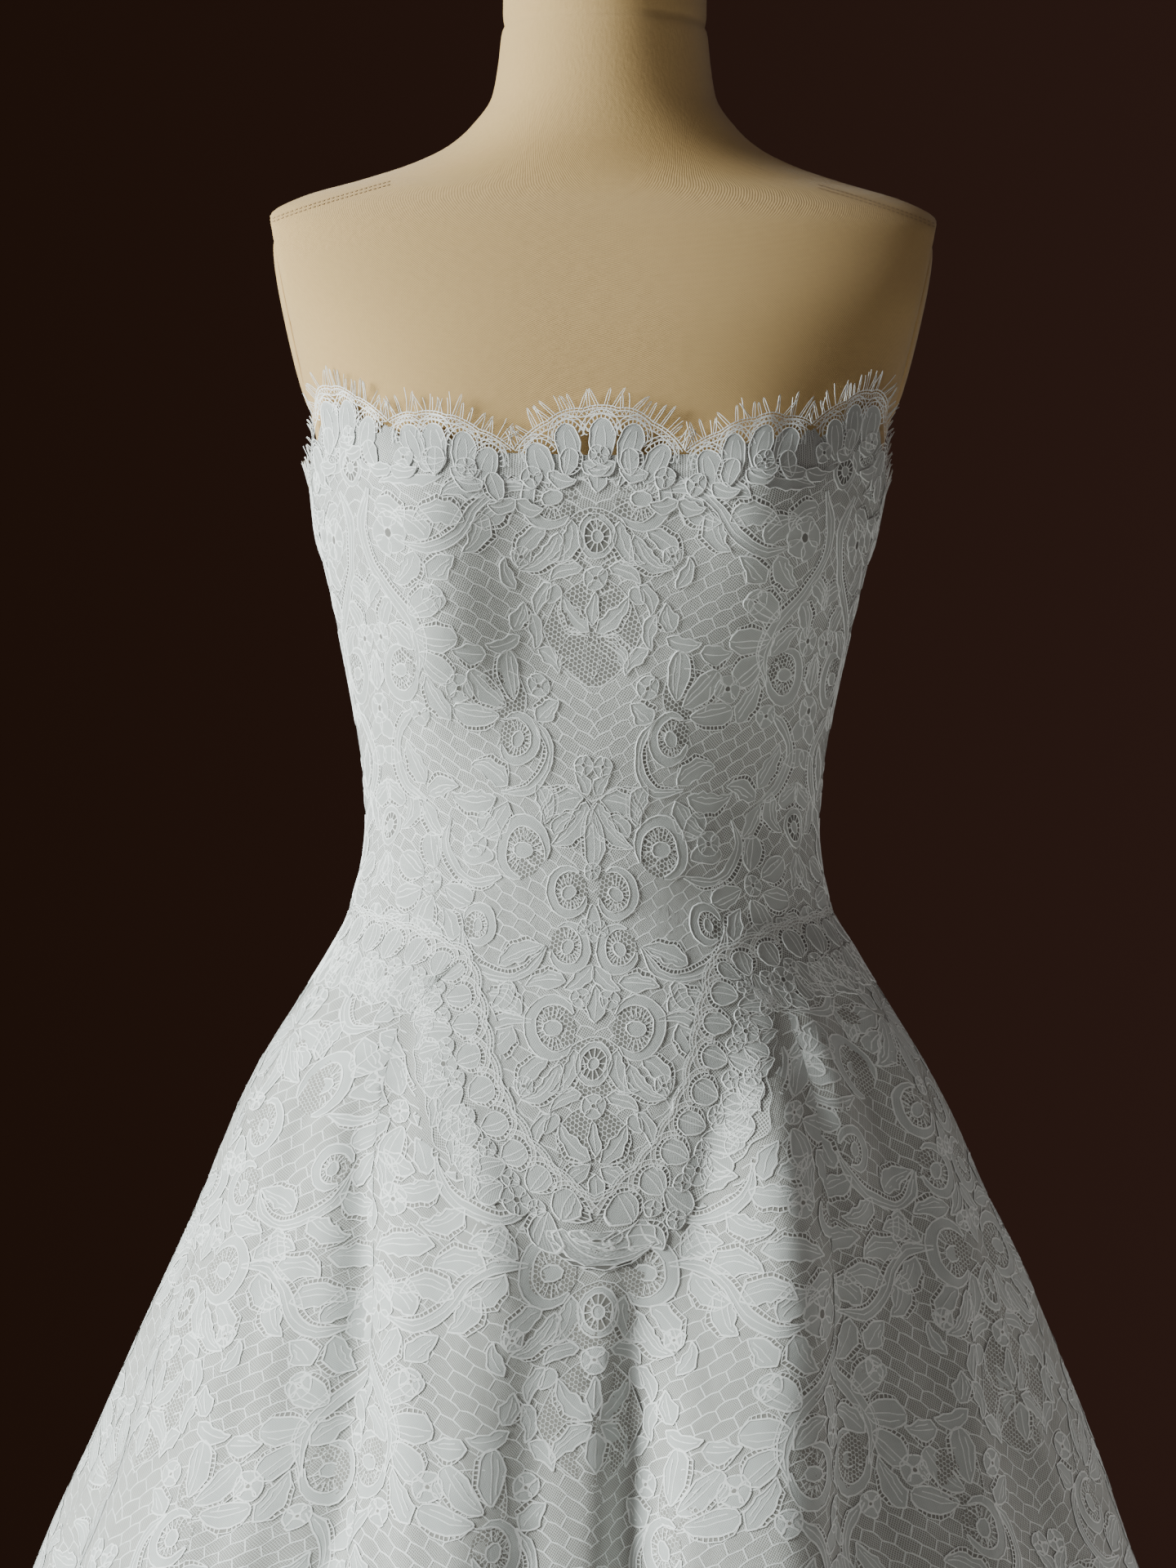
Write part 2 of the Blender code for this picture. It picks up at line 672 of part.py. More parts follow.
def build_torso(collection, cutters):
    """Rings of the form's sections, closed at the bottom and at the top of the neck."""
    rows = form_rows()
    heights = [z for run in TORSO_RINGS for z in spaced(run.low, run.high, run.steps)] + [NECK_TOP_Z]
    shape = bmesh.new()
    rings = []
    for z in heights:
        section = section_at(rows, z)
        ring = [with_cups(on_section(section, 360 * i / TORSO_SIDES)) for i in range(TORSO_SIDES)]
        rings.append([shape.verts.new(point) for point in ring])
    for lower, upper in zip(rings, rings[1:]):
        for i in range(TORSO_SIDES):
            j = (i + 1) % TORSO_SIDES
            shape.faces.new((lower[i], lower[j], upper[j], upper[i]))
    shape.faces.new(rings[0][::-1])
    shape.faces.new(rings[-1])
    mesh = bpy.data.meshes.new("form_torso")
    shape.to_mesh(mesh)
    shape.free()
    mesh.shade_smooth()
    torso = object_from("form_torso", mesh, "form_cover", collection)
    for side in (1, -1):
        cut = torso.modifiers.new("flat armhole", "BOOLEAN")
        cut.operation = "DIFFERENCE"
        cut.object = armhole_cutter(side, cutters)


def build_armhole_plates(collection):
    """An oval padded plate on each flat armhole."""
    low, high = Vector(ARMHOLE_LOW), Vector(ARMHOLE_HIGH)
    lean = math.atan2(high.x - low.x, high.y - low.y)
    middle = (low + high) / 2
    for side, name in ((1, "form_armhole_plate_left"), (-1, "form_armhole_plate_right")):
        shape = bmesh.new()
        bmesh.ops.create_cone(shape, cap_ends=True, segments=28, radius1=1, radius2=1, depth=1)
        bmesh.ops.scale(shape, verts=shape.verts,
                        vec=(ARMHOLE_PLATE_RADII[1], ARMHOLE_PLATE_RADII[0], ARMHOLE_PLATE_THICK))
        bmesh.ops.rotate(shape, verts=shape.verts, cent=(0, 0, 0),
                         matrix=Matrix.Rotation(math.pi / 2, 3, "Y"))
        mesh = bpy.data.meshes.new(name)
        shape.to_mesh(mesh)
        shape.free()
        mesh.shade_smooth()
        mesh.set_sharp_from_angle(angle=math.radians(40))
        plate = object_from(name, mesh, "form_cover", collection)
        away = Vector((math.cos(lean), 0, -math.sin(lean))) * (ARMHOLE_PLATE_THICK / 2 + TOUCH_GAP)
        plate.location = (side * (middle.x + away.x), ARMHOLE_MIDDLE_Y, middle.y + away.z)
        plate.rotation_euler = (0, side * lean, 0)
        bevelled(plate, 0.0018)


def build_stand(collection):
    base = round_piece("stand_base", BASE_RADIUS, BASE_THICK, (0, 0, 0), "painted_steel", collection, 48)
    bevelled(base, 0.004)
    collar_z = TORSO_BOTTOM_Z - TOUCH_GAP - COLLAR_THICK
    collar = round_piece("stand_collar", COLLAR_RADIUS, COLLAR_THICK, (0, 0, collar_z), "wood", collection)
    bevelled(collar, 0.002, 1)
    pole_z = BASE_THICK + TOUCH_GAP
    pole_length = collar_z - TOUCH_GAP - pole_z
    round_piece("stand_pole", POLE_RADIUS, pole_length, (0, 0, pole_z), "steel", collection, 24)


def build_neck_cap(collection):
    """A plain domed cap on the neck."""
    neck = section_at(form_rows(), NECK_TOP_Z)
    depth = (neck.front + neck.back) / 2
    cap = round_piece("neck_cap", 1, NECK_CAP_THICK, (0, 0, 0), "form_cover", collection, 36)
    cap.data.transform(Matrix.Diagonal((neck.half_width - NECK_CAP_INSET, depth - NECK_CAP_INSET, 1, 1)))
    cap.location = (0, (neck.back - neck.front) / 2, NECK_TOP_Z + TOUCH_GAP)
    bevelled(cap, 0.003)


def main():
    clear_scene()
    cutters = collection_named("cutters")
    dress = collection_named("wedding_dress_on_form")
    build_bodice(dress)
    build_skirt(dress)
    build_neck_trim(dress)
    build_waist_trim(dress)
    build_back_closure(dress)
    build_torso(dress, cutters)
    build_armhole_plates(dress)
    build_neck_cap(dress)
    build_stand(dress)


main()
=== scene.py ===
import math
import random
import re

import bpy
import numpy as np
from mathutils import Matrix, Vector


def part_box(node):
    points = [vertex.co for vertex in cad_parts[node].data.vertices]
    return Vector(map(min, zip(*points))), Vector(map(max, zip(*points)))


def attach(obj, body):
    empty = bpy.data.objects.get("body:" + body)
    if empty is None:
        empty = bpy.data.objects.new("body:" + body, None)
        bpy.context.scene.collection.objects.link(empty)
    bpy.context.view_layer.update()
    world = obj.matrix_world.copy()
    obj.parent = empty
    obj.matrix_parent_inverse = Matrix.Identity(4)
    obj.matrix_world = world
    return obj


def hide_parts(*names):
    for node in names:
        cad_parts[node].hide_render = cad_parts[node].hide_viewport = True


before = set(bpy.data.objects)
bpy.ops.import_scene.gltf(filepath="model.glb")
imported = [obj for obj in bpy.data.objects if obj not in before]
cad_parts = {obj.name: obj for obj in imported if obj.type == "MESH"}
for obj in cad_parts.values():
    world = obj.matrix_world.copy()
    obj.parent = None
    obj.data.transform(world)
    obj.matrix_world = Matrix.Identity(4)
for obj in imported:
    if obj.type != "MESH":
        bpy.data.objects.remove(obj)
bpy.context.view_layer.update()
print("frame loaded")

# helpers for node trees

def freshMaterial(name):
    material = bpy.data.materials.new(name)
    material.use_nodes = True
    return material, material.node_tree, material.node_tree.nodes["Principled BSDF"]


def feed(tree, node, inputs):
    # links the values that are sockets and sets the others
    for key, value in dict(inputs).items():
        if isinstance(value, bpy.types.NodeSocket):
            tree.links.new(value, node.inputs[key])
        else:
            node.inputs[key].default_value = value


def nodeOf(tree, kind, inputs=(), **settings):
    node = tree.nodes.new(kind)
    for key, value in settings.items():
        setattr(node, key, value)
    feed(tree, node, inputs)
    return node


def mathOf(tree, operation, *values):
    return nodeOf(tree, "ShaderNodeMath", dict(enumerate(values)), operation=operation).outputs[0]


def vectorOf(tree, operation, *values):
    node = nodeOf(tree, "ShaderNodeVectorMath", dict(enumerate(values)), operation=operation)
    return node.outputs["Value" if operation in ("DOT_PRODUCT", "LENGTH") else "Vector"]


def rampOf(tree, value, low, high, toLow=0.0, toHigh=1.0):
    inputs = {"Value": value, "From Min": low, "From Max": high, "To Min": toLow, "To Max": toHigh}
    return nodeOf(tree, "ShaderNodeMapRange", inputs, interpolation_type="SMOOTHSTEP").outputs["Result"]


def mixColour(tree, share, first, second):
    return nodeOf(tree, "ShaderNodeMix", {0: share, 6: (*first, 1), 7: (*second, 1)}, data_type="RGBA").outputs[2]


def noiseOf(tree, coordinates, scale, detail):
    return nodeOf(tree, "ShaderNodeTexNoise", {"Vector": coordinates, "Scale": scale, "Detail": detail}).outputs[0]


def bumpOf(tree, height, distance, strength):
    inputs = {"Height": height, "Distance": distance, "Strength": strength}
    return nodeOf(tree, "ShaderNodeBump", inputs).outputs["Normal"]


def objectPlace(tree):
    return nodeOf(tree, "ShaderNodeTexCoord").outputs["Object"]


def turnedBy(tree, place, degrees):
    return nodeOf(tree, "ShaderNodeVectorRotate", {"Vector": place, "Angle": math.radians(degrees)},
                  rotation_type="Z_AXIS").outputs[0]


def hexThread(tree, place, cell, thread):
    # 1 on the threads of a net of six-sided holes and 0 in the holes
    scaled = vectorOf(tree, "MULTIPLY", place, (1 / cell, 1 / cell, 0))
    half = (0.5, math.sqrt(3) / 2, 0.5)
    back = tuple(-h for h in half)
    first = vectorOf(tree, "WRAP", scaled, half, back)
    second = vectorOf(tree, "WRAP", vectorOf(tree, "ADD", scaled, half), half, back)
    nearer = mathOf(tree, "LESS_THAN", vectorOf(tree, "LENGTH", second), vectorOf(tree, "LENGTH", first))
    chosen = nodeOf(tree, "ShaderNodeMix", {0: nearer, 4: first, 5: second}, data_type="VECTOR")
    away = vectorOf(tree, "ABSOLUTE", chosen.outputs[1])
    slant = vectorOf(tree, "DOT_PRODUCT", away, (0.5, math.sqrt(3) / 2, 0))
    straight = vectorOf(tree, "DOT_PRODUCT", away, (1, 0, 0))
    toEdge = mathOf(tree, "SUBTRACT", 0.5, mathOf(tree, "MAXIMUM", slant, straight))
    return rampOf(tree, toEdge, thread * 0.5, thread * 1.5, 1.0, 0.0)


def gridThread(tree, place, pitch, turn, thread):
    # 1 on the threads of a fine square mesh and 0 in its holes
    scaled = vectorOf(tree, "MULTIPLY", turnedBy(tree, place, turn), (1 / pitch, 1 / pitch, 0))
    cell = vectorOf(tree, "ABSOLUTE", vectorOf(tree, "WRAP", scaled, (0.5, 0.5, 0.5), (-0.5, -0.5, -0.5)))
    parts = nodeOf(tree, "ShaderNodeSeparateXYZ", {0: cell}).outputs
    nearest = mathOf(tree, "MAXIMUM", parts[0], parts[1])
    return rampOf(tree, nearest, 0.5 - thread * 1.4, 0.5 - thread * 0.4)


def clothPlace(tree, wander):
    # the cut's own coordinates in metres, stirred a little so that no row of holes runs dead straight
    cut = nodeOf(tree, "ShaderNodeUVMap", uv_map="cut").outputs["UV"]
    stir = nodeOf(tree, "ShaderNodeTexNoise", {"Vector": cut, "Scale": 150.0, "Detail": 1.0}).outputs[1]
    centred = vectorOf(tree, "SUBTRACT", stir, (0.5, 0.5, 0.5))
    return vectorOf(tree, "ADD", cut, vectorOf(tree, "MULTIPLY", centred, (wander * 2, wander * 2, 0)))


# the camera, the lights and the backdrop, whose two colours blend from left to right

view = {"place": (-0.006, -2.2, 1.078), "lens": 90.47, "sensor": 36, "roll": 0.45, "blend": 0.15,
        "backdrop": ((0.0175, 0.008, 0.005), (0.028, 0.013, 0.0095))}
lights = [  # name, place, aimed at, size, watts, spread in degrees, colour
    ("keyLight", (-3.05, -0.92, 2.02), (0.0, 0.0, 1.02), 1.6, 295, 180, (0.955, 1.0, 0.98)),
    ("frontFill", (0.2, -3.6, 1.4), (0.0, 0.0, 0.6), 2.6, 13.5, 180, (1.0, 0.99, 0.97)),
    ("rightRim", (1.45, 0.38, 0.48), (0.45, 0.0, 0.1), 0.85, 3.1, 112, (1.0, 0.98, 0.95)),
    ("topSoft", (-0.4, 0.3, 3.6), (0.0, 0.0, 1.0), 2.2, 7, 180, (1.0, 0.99, 0.97))]


def setUp(name, data, place, facing, roll=0.0):
    # a camera or a lamp, turned to face along a line
    holder = bpy.data.objects.new(name, data)
    holder.location = place
    holder.rotation_mode = "QUATERNION"
    holder.rotation_quaternion = (Vector(facing).to_track_quat("-Z", "Y")
                                  @ Matrix.Rotation(math.radians(roll), 3, "Z").to_quaternion())
    bpy.context.collection.objects.link(holder)
    return holder


cameraData = bpy.data.cameras.new("studioCamera")
cameraData.lens, cameraData.sensor_width = view["lens"], view["sensor"]
bpy.context.scene.camera = setUp("studioCamera", cameraData, view["place"], (0, 1, 0), view["roll"])

for name, place, aim, size, watts, spread, colour in lights:
    lamp = bpy.data.lights.new(name, "AREA")
    lamp.shape, lamp.size, lamp.energy, lamp.color = "DISK", size, watts, colour
    lamp.spread = math.radians(spread)
    setUp(name, lamp, place, Vector(aim) - Vector(place))

world = bpy.data.worlds.new("studio")
world.use_nodes = True
bpy.context.scene.world = world
backdrop = world.node_tree
around = nodeOf(backdrop, "ShaderNodeTexCoord").outputs["Generated"]
across = nodeOf(backdrop, "ShaderNodeSeparateXYZ", {0: around}).outputs[0]
blended = nodeOf(backdrop, "ShaderNodeMapRange",
                 {"Value": across, "From Min": -view["blend"], "From Max": view["blend"]}).outputs["Result"]
feed(backdrop, backdrop.nodes["Background"], {"Color": mixColour(backdrop, blended, *view["backdrop"])})
print("studio set")


# materials: colours, then pitches in metres, turns in degrees and threads as shares of their pitch
# the hole colours are the lining's tone, painted dark with the shade that the lace casts on it
laceLook = {"thread": (0.77, 0.805, 0.79), "meshHoleShade": (0.25, 0.255, 0.235), "netHoleShade": (0.2, 0.2, 0.185),
            "cord": (0.915, 0.955, 0.94), "cloth": (0.51, 0.54, 0.525), "edgeHoleShade": (0.42, 0.42, 0.39),
            "skirtShadedThread": (0.69, 0.725, 0.705), "skirtHoleShade": (0.31, 0.31, 0.285), "skirtCloth": (0.595, 0.635, 0.62),
            "meshPitch": 0.0012, "meshTurn": 33, "meshThread": 0.17, "netCell": 0.0025, "netTurn": 38,
            "netThread": 0.085, "stitchPitch": 0.00085, "stitchTurn": 28, "stitchThread": 0.22,
            "roughness": 0.72, "specular": 0.25}


def scaledColour(colour, share):
    return tuple(c * share for c in colour)


def meshMaterial(name, thread, hole):
    # the ground: a fine square mesh over the lining, a little uneven in tone, its holes painted dark with the
    # lining's shade
    material, tree, shader = freshMaterial(name)
    place = clothPlace(tree, 0.0005)
    mesh = gridThread(tree, place, laceLook["meshPitch"], laceLook["meshTurn"], laceLook["meshThread"])
    tone = rampOf(tree, noiseOf(tree, place, 55.0, 3.0), 0.3, 0.7, 0.0, 0.22)
    feed(tree, shader, {"Base Color": mixColour(tree, mathOf(tree, "SUBTRACT", mesh, tone), hole, thread),
                        "Normal": bumpOf(tree, mesh, 0.0003, 0.7), "Roughness": laceLook["roughness"],
                        "Sheen Weight": 0.12, "Specular IOR Level": laceLook["specular"]})
    return material


def netMaterial(name, hole):
    # windows of net with six-sided holes, each dark with the lining's shade
    material, tree, shader = freshMaterial(name)
    place = turnedBy(tree, clothPlace(tree, 0.0008), laceLook["netTurn"])
    net = hexThread(tree, place, laceLook["netCell"], laceLook["netThread"])
    feed(tree, shader, {"Base Color": mixColour(tree, net, hole, laceLook["thread"]),
                        "Normal": bumpOf(tree, net, 0.0005, 0.9), "Roughness": laceLook["roughness"],
                        "Specular IOR Level": laceLook["specular"]})
    return material


def shadedLiningMaterial(name, colour):
    # the shaded lining at the bottom of an eyelet
    material, tree, shader = freshMaterial(name)
    shade = noiseOf(tree, clothPlace(tree, 0.0005), 300.0, 2.0)
    feed(tree, shader, {"Base Color": mixColour(tree, shade, scaledColour(colour, 0.8), colour), "Roughness": 0.8})
    return material


def stitchMaterial(name, colour):
    # the close-worked leaves and petals: fine slanting stitches, a little uneven in tone
    material, tree, shader = freshMaterial(name)
    place = clothPlace(tree, 0.0004)
    stitches = gridThread(tree, place, laceLook["stitchPitch"], laceLook["stitchTurn"], laceLook["stitchThread"])
    tone = rampOf(tree, noiseOf(tree, place, 110.0, 3.0), 0.3, 0.7, 0.0, 0.7)
    share = mathOf(tree, "MULTIPLY", mathOf(tree, "SUBTRACT", 1.0, stitches), mathOf(tree, "ADD", tone, 0.3))
    feed(tree, shader, {"Base Color": mixColour(tree, share, colour, scaledColour(colour, 0.72)),
                        "Normal": bumpOf(tree, stitches, 0.00015, 0.6), "Roughness": 0.75,
                        "Sheen Weight": 0.15, "Specular IOR Level": laceLook["specular"]})
    return material


def cordMaterial(name, colour):
    # the bright raised cords, twisted from a few strands
    material, tree, shader = freshMaterial(name)
    strands = noiseOf(tree, objectPlace(tree), 900.0, 2.0)
    share = rampOf(tree, strands, 0.35, 0.65)
    feed(tree, shader, {"Base Color": mixColour(tree, share, scaledColour(colour, 0.9), colour),
                        "Normal": bumpOf(tree, strands, 0.00015, 0.5), "Roughness": 0.55,
                        "Specular IOR Level": 0.35})
    return material


def wovenMaterial(name, colour, pitch, roughness, sheen, depth=0.0001, tint=0.06):
    # a fine plain weave or knit, from the cut's own coordinates
    material, tree, shader = freshMaterial(name)
    place = clothPlace(tree, 0.0002)
    scaled = vectorOf(tree, "MULTIPLY", place, (1 / pitch, 1 / pitch, 0))
    parts = nodeOf(tree, "ShaderNodeSeparateXYZ", {0: scaled}).outputs
    across, up = (mathOf(tree, "SINE", mathOf(tree, "MULTIPLY", part, 2 * math.pi)) for part in parts[:2])
    broad = rampOf(tree, noiseOf(tree, place, 7.0, 3.0), 0.3, 0.7)
    fine = rampOf(tree, noiseOf(tree, place, 260.0, 2.0), 0.3, 0.7)
    uneven = mathOf(tree, "ADD", mathOf(tree, "MULTIPLY", broad, 0.6), mathOf(tree, "MULTIPLY", fine, 0.4))
    height = mathOf(tree, "ADD", mathOf(tree, "MULTIPLY", across, up), mathOf(tree, "MULTIPLY", fine, 1.2))
    feed(tree, shader, {"Base Color": mixColour(tree, uneven, scaledColour(colour, 1 - 2 * tint), colour),
                        "Normal": bumpOf(tree, height, depth, 0.5), "Roughness": roughness,
                        "Sheen Weight": sheen, "Specular IOR Level": 0.2})
    return material


def metalMaterial(name, colour, roughness, metallic, scratch):
    material, tree, shader = freshMaterial(name)
    marks = noiseOf(tree, vectorOf(tree, "MULTIPLY", objectPlace(tree), scratch), 60.0, 4.0)
    feed(tree, shader, {"Base Color": mixColour(tree, marks, scaledColour(colour, 0.86), colour),
                        "Roughness": rampOf(tree, marks, 0.3, 0.7, roughness * 0.8, roughness * 1.2),
                        "Normal": bumpOf(tree, marks, 0.0002, 0.3), "Metallic": metallic})
    return material


def woodMaterial(name, dark, light):
    material, tree, shader = freshMaterial(name)
    grain = nodeOf(tree, "ShaderNodeTexWave",
                   {"Vector": objectPlace(tree), "Scale": 28.0, "Distortion": 5.0, "Detail": 3.0},
                   bands_direction="X").outputs[1]
    feed(tree, shader, {"Base Color": mixColour(tree, grain, dark, light),
                        "Normal": bumpOf(tree, grain, 0.0003, 0.3), "Roughness": 0.5})
    return material


finish = {
    "mesh": meshMaterial("lace mesh", laceLook["thread"], laceLook["edgeHoleShade"]),
    "ground": meshMaterial("lace ground", laceLook["thread"], laceLook["meshHoleShade"]),
    # the skirt's ground: its thread and holes painted darker than the bodice's, for the shade of the satin lying
    # behind the net
    "skirtGround": meshMaterial("skirt lace ground", laceLook["skirtShadedThread"], laceLook["skirtHoleShade"]),
    "net": netMaterial("lace net", laceLook["netHoleShade"]),
    "skirtNet": netMaterial("skirt lace net", laceLook["skirtHoleShade"]),
    "hole": shadedLiningMaterial("lining in the eyelets", laceLook["netHoleShade"]),
    "skirtHoleShade": shadedLiningMaterial("lining in the skirt's eyelets", laceLook["skirtHoleShade"]),
    "cloth": stitchMaterial("lace cloth stitch", laceLook["cloth"]),
    "skirtCloth": stitchMaterial("skirt lace cloth stitch", laceLook["skirtCloth"]),
    "cord": cordMaterial("lace cord", laceLook["cord"]),
    "satin": wovenMaterial("ivory satin", (0.8, 0.79, 0.75), 0.0006, 0.45, 0.1),
    "cover": wovenMaterial("form cover jersey", (0.535, 0.358, 0.152), 0.0011, 0.92, 0.25, 0.00015, 0.03),
    "seam": wovenMaterial("form cover thread", (0.44, 0.3, 0.15), 0.0011, 0.92, 0.1),
    "steel": metalMaterial("brushed steel", (0.6, 0.6, 0.6), 0.35, 1.0, (8, 8, 0.4)),
    "painted": metalMaterial("painted steel", (0.72, 0.7, 0.66), 0.5, 0.0, (3, 3, 3)),
    "wood": woodMaterial("turned beech", (0.36, 0.22, 0.12), (0.55, 0.38, 0.23)),
}


# meshes and pieces

def makeMesh(name, points, quads, materials, pick=None, cut=None):
    mesh = bpy.data.meshes.new(name)
    mesh.from_pydata(np.asarray(points, float).reshape(-1, 3).tolist(), [], np.asarray(quads).tolist())
    for material in materials:
        mesh.materials.append(material)
    if pick is not None:
        mesh.polygons.foreach_set("material_index", np.asarray(pick, np.int32))
    if cut is not None:
        corners = np.zeros(len(mesh.loops), np.int32)
        mesh.loops.foreach_get("vertex_index", corners)
        layer = mesh.uv_layers.new(name="cut")
        layer.data.foreach_set("uv", np.asarray(cut, float).reshape(-1, 2)[corners].ravel())
    mesh.shade_smooth()
    mesh.update()
    return mesh


def placePiece(name, mesh, replaces=()):
    piece = bpy.data.objects.new(name, mesh)
    bpy.context.collection.objects.link(piece)
    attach(piece, "root")
    if replaces:
        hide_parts(*replaces)
    return piece


def nodeNamed(name):
    # the part's own name for a piece: backButton01 is back_button_01 there
    return re.sub(r"([A-Z]|\d+)", r"_\1", name).lower()


def gridQuads(rows, columns, closed=False):
    r, c = np.meshgrid(np.arange(rows - 1), np.arange(columns - (0 if closed else 1)), indexing="ij")
    r, c = r.ravel(), c.ravel()
    d = (c + 1) % columns
    return np.stack([r * columns + c, r * columns + d, (r + 1) * columns + d, (r + 1) * columns + c], 1)


def thicken(piece, thickness):
    # the free edges are marked sharp, so that the thin rim doesn't shade the cloth beside it
    mesh = piece.data
    edges = np.zeros(len(mesh.loops), np.int32)
    mesh.loops.foreach_get("edge_index", edges)
    sharp = mesh.attributes.get("sharp_edge") or mesh.attributes.new("sharp_edge", "BOOLEAN", "EDGE")
    sharp.data.foreach_set("value", np.bincount(edges, minlength=len(mesh.edges)) == 1)
    solid = piece.modifiers.new("cloth thickness", "SOLIDIFY")
    solid.thickness, solid.offset = thickness, -1


def clothPiece(name, points, cut, look, thickness=None):
    # a sheet of cloth in rows and columns, in the place of the part's own solid
    mesh = makeMesh(name, points, gridQuads(*points.shape[:2]), [finish[look]], cut=cut)
    piece = placePiece(name, mesh, (nodeNamed(name),))
    if thickness:
        thicken(piece, thickness)
    return piece


def unitOf(vectors):
    return vectors / np.maximum(np.linalg.norm(vectors, axis=-1)[..., None], 1e-9)


def runOf(points):
    # how far along a row of points each one lies
    steps = np.linalg.norm(np.diff(points, axis=-2), axis=-1)
    return np.concatenate([np.zeros(steps.shape[:-1] + (1,)), np.cumsum(steps, axis=-1)], -1)


def alongLine(at, run, line):
    return np.stack([np.interp(at, run, column) for column in line.T], -1)


def areaOf(grid):
    a, b, c, d = grid[:-1, :-1], grid[:-1, 1:], grid[1:, 1:], grid[1:, :-1]
    return float((np.linalg.norm(np.cross(b - a, c - a), axis=-1)
                  + np.linalg.norm(np.cross(c - a, d - a), axis=-1)).sum() / 2)


cutSizes = {}


def declareCut(piece, grid):
    # the cut lies flat as wide as its longest row and as long as its longest column
    width, length = float(runOf(grid)[:, -1].max()), float(runOf(grid.transpose(1, 0, 2))[:, -1].max())
    area = min(areaOf(grid), width * length)
    cutSizes[piece.name] = (round(width, 3), round(length, 3), round(area, 4))


# the shape of the dress and of the form, as in the part

dressRows = np.array([  # z, half width, front, back, squareness
    (0.0, 0.528, 0.442, 0.512, 2.0), (0.15, 0.48, 0.403, 0.458, 2.0), (0.3, 0.431, 0.361, 0.402, 2.0),
    (0.5, 0.36, 0.298, 0.324, 2.0), (0.643, 0.306, 0.243, 0.265, 2.02), (0.768, 0.256, 0.186, 0.21, 2.05),
    (0.85, 0.219, 0.148, 0.173, 2.1), (0.905, 0.193, 0.125, 0.148, 2.15), (0.96, 0.16, 0.106, 0.118, 2.2),
    (0.985, 0.144, 0.098, 0.105, 2.2), (1.01, 0.13, 0.092, 0.095, 2.2), (1.035, 0.126, 0.091, 0.09, 2.2),
    (1.06, 0.125, 0.09, 0.089, 2.2), (1.09, 0.128, 0.094, 0.091, 2.22), (1.15, 0.139, 0.108, 0.098, 2.3),
    (1.2, 0.149, 0.121, 0.104, 2.4), (1.225, 0.154, 0.123, 0.106, 2.45), (1.25, 0.158, 0.118, 0.107, 2.5),
    (1.279, 0.164, 0.109, 0.107, 2.55), (1.3, 0.172, 0.101, 0.107, 2.6), (1.325, 0.18, 0.091, 0.106, 2.6)])
hipRows = np.array([
    (0.79, 0.146, 0.092, 0.115, 2.2), (0.82, 0.156, 0.098, 0.124, 2.2), (0.86, 0.163, 0.101, 0.128, 2.2),
    (0.9, 0.161, 0.1, 0.121, 2.2), (0.94, 0.151, 0.096, 0.108, 2.2), (0.975, 0.138, 0.091, 0.097, 2.2)])
shoulderRows = np.array([
    (1.345, 0.185, 0.078, 0.099, 2.6), (1.365, 0.189, 0.068, 0.094, 2.5), (1.385, 0.19, 0.058, 0.084, 2.35),
    (1.395, 0.185, 0.052, 0.077, 2.2), (1.404, 0.168, 0.047, 0.069, 2.1), (1.413, 0.137, 0.045, 0.064, 2.0),
    (1.422, 0.109, 0.046, 0.062, 2.0), (1.432, 0.088, 0.049, 0.061, 2.0), (1.443, 0.075, 0.051, 0.061, 2.0),
    (1.461, 0.0625, 0.053, 0.06, 2.0), (1.4795, 0.0592, 0.054, 0.0585, 2.0),
    (1.496, 0.0574, 0.0545, 0.0575, 2.0), (1.501, 0.0562, 0.0535, 0.0565, 2.0),
    (1.507, 0.0568, 0.054, 0.057, 2.0), (1.535, 0.0565, 0.054, 0.057, 2.0)])
folds = np.array([  # angle, reach, start
    (-180, 0.01, 0.94), (-170, -0.012, 0.93), (-161, 0.016, 0.95), (-150, -0.014, 0.94), (-139, 0.015, 0.95),
    (-127, -0.013, 0.93), (-116, 0.013, 0.95), (-103, -0.014, 0.94), (-90, 0.002, 0.95), (-74, -0.009, 0.93),
    (-57, 0.007, 0.94), (-40, 0.01, 0.94), (-29, -0.014, 0.93), (-21.5, 0.015, 0.95), (-14, 0.01, 0.92),
    (-7, -0.009, 0.9), (-1.5, 0.003, 0.84), (4.3, -0.015, 0.85), (10.5, 0.015, 0.88), (21.5, 0.014, 0.95),
    (29.5, -0.015, 0.95), (41, 0.009, 0.94), (56, -0.008, 0.93), (73, 0.005, 0.93), (90, 0.002, 0.95),
    (102, -0.013, 0.94), (114, 0.014, 0.95), (126, -0.013, 0.93), (138, 0.016, 0.95), (149, -0.014, 0.94),
    (160, 0.015, 0.95), (171, -0.012, 0.93), (180, 0.01, 0.94)])
foldHang = np.array([(0.695, 0.0), (0.786, 0.146), (0.923, 0.347), (0.96, 0.37)])  # z, moved in
bodiceTop = np.array([(0, 1.249), (25, 1.251), (45, 1.258), (58, 1.27), (75, 1.252), (92, 1.228), (120, 1.205),
                      (150, 1.192), (180, 1.184)])
neckScallops = [  # angle, z, is a peak
    (0, 1.278, True), (12, 1.2548, False), (30, 1.2758, True), (39, 1.272, False), (57, 1.293, True),
    (76, 1.251, False), (91, 1.242, True), (104, 1.2205, False), (119, 1.232, True), (133, 1.208, False),
    (148, 1.215, True), (163, 1.195, False), (180, 1.203, True)]
waist = np.array([  # angle, top of the trim, seam, bottom of the trim
    (0, 0.862, 0.83, 0.81), (6, 0.884, 0.843, 0.818), (12, 0.916, 0.868, 0.838), (18, 0.962, 0.908, 0.866),
    (24, 0.988, 0.937, 0.893), (32, 0.996, 0.953, 0.913), (48, 1.004, 0.97, 0.937), (70, 1.01, 0.984, 0.954),
    (90, 1.013, 0.99, 0.961), (135, 1.008, 0.985, 0.956), (180, 0.994, 0.97, 0.942)])
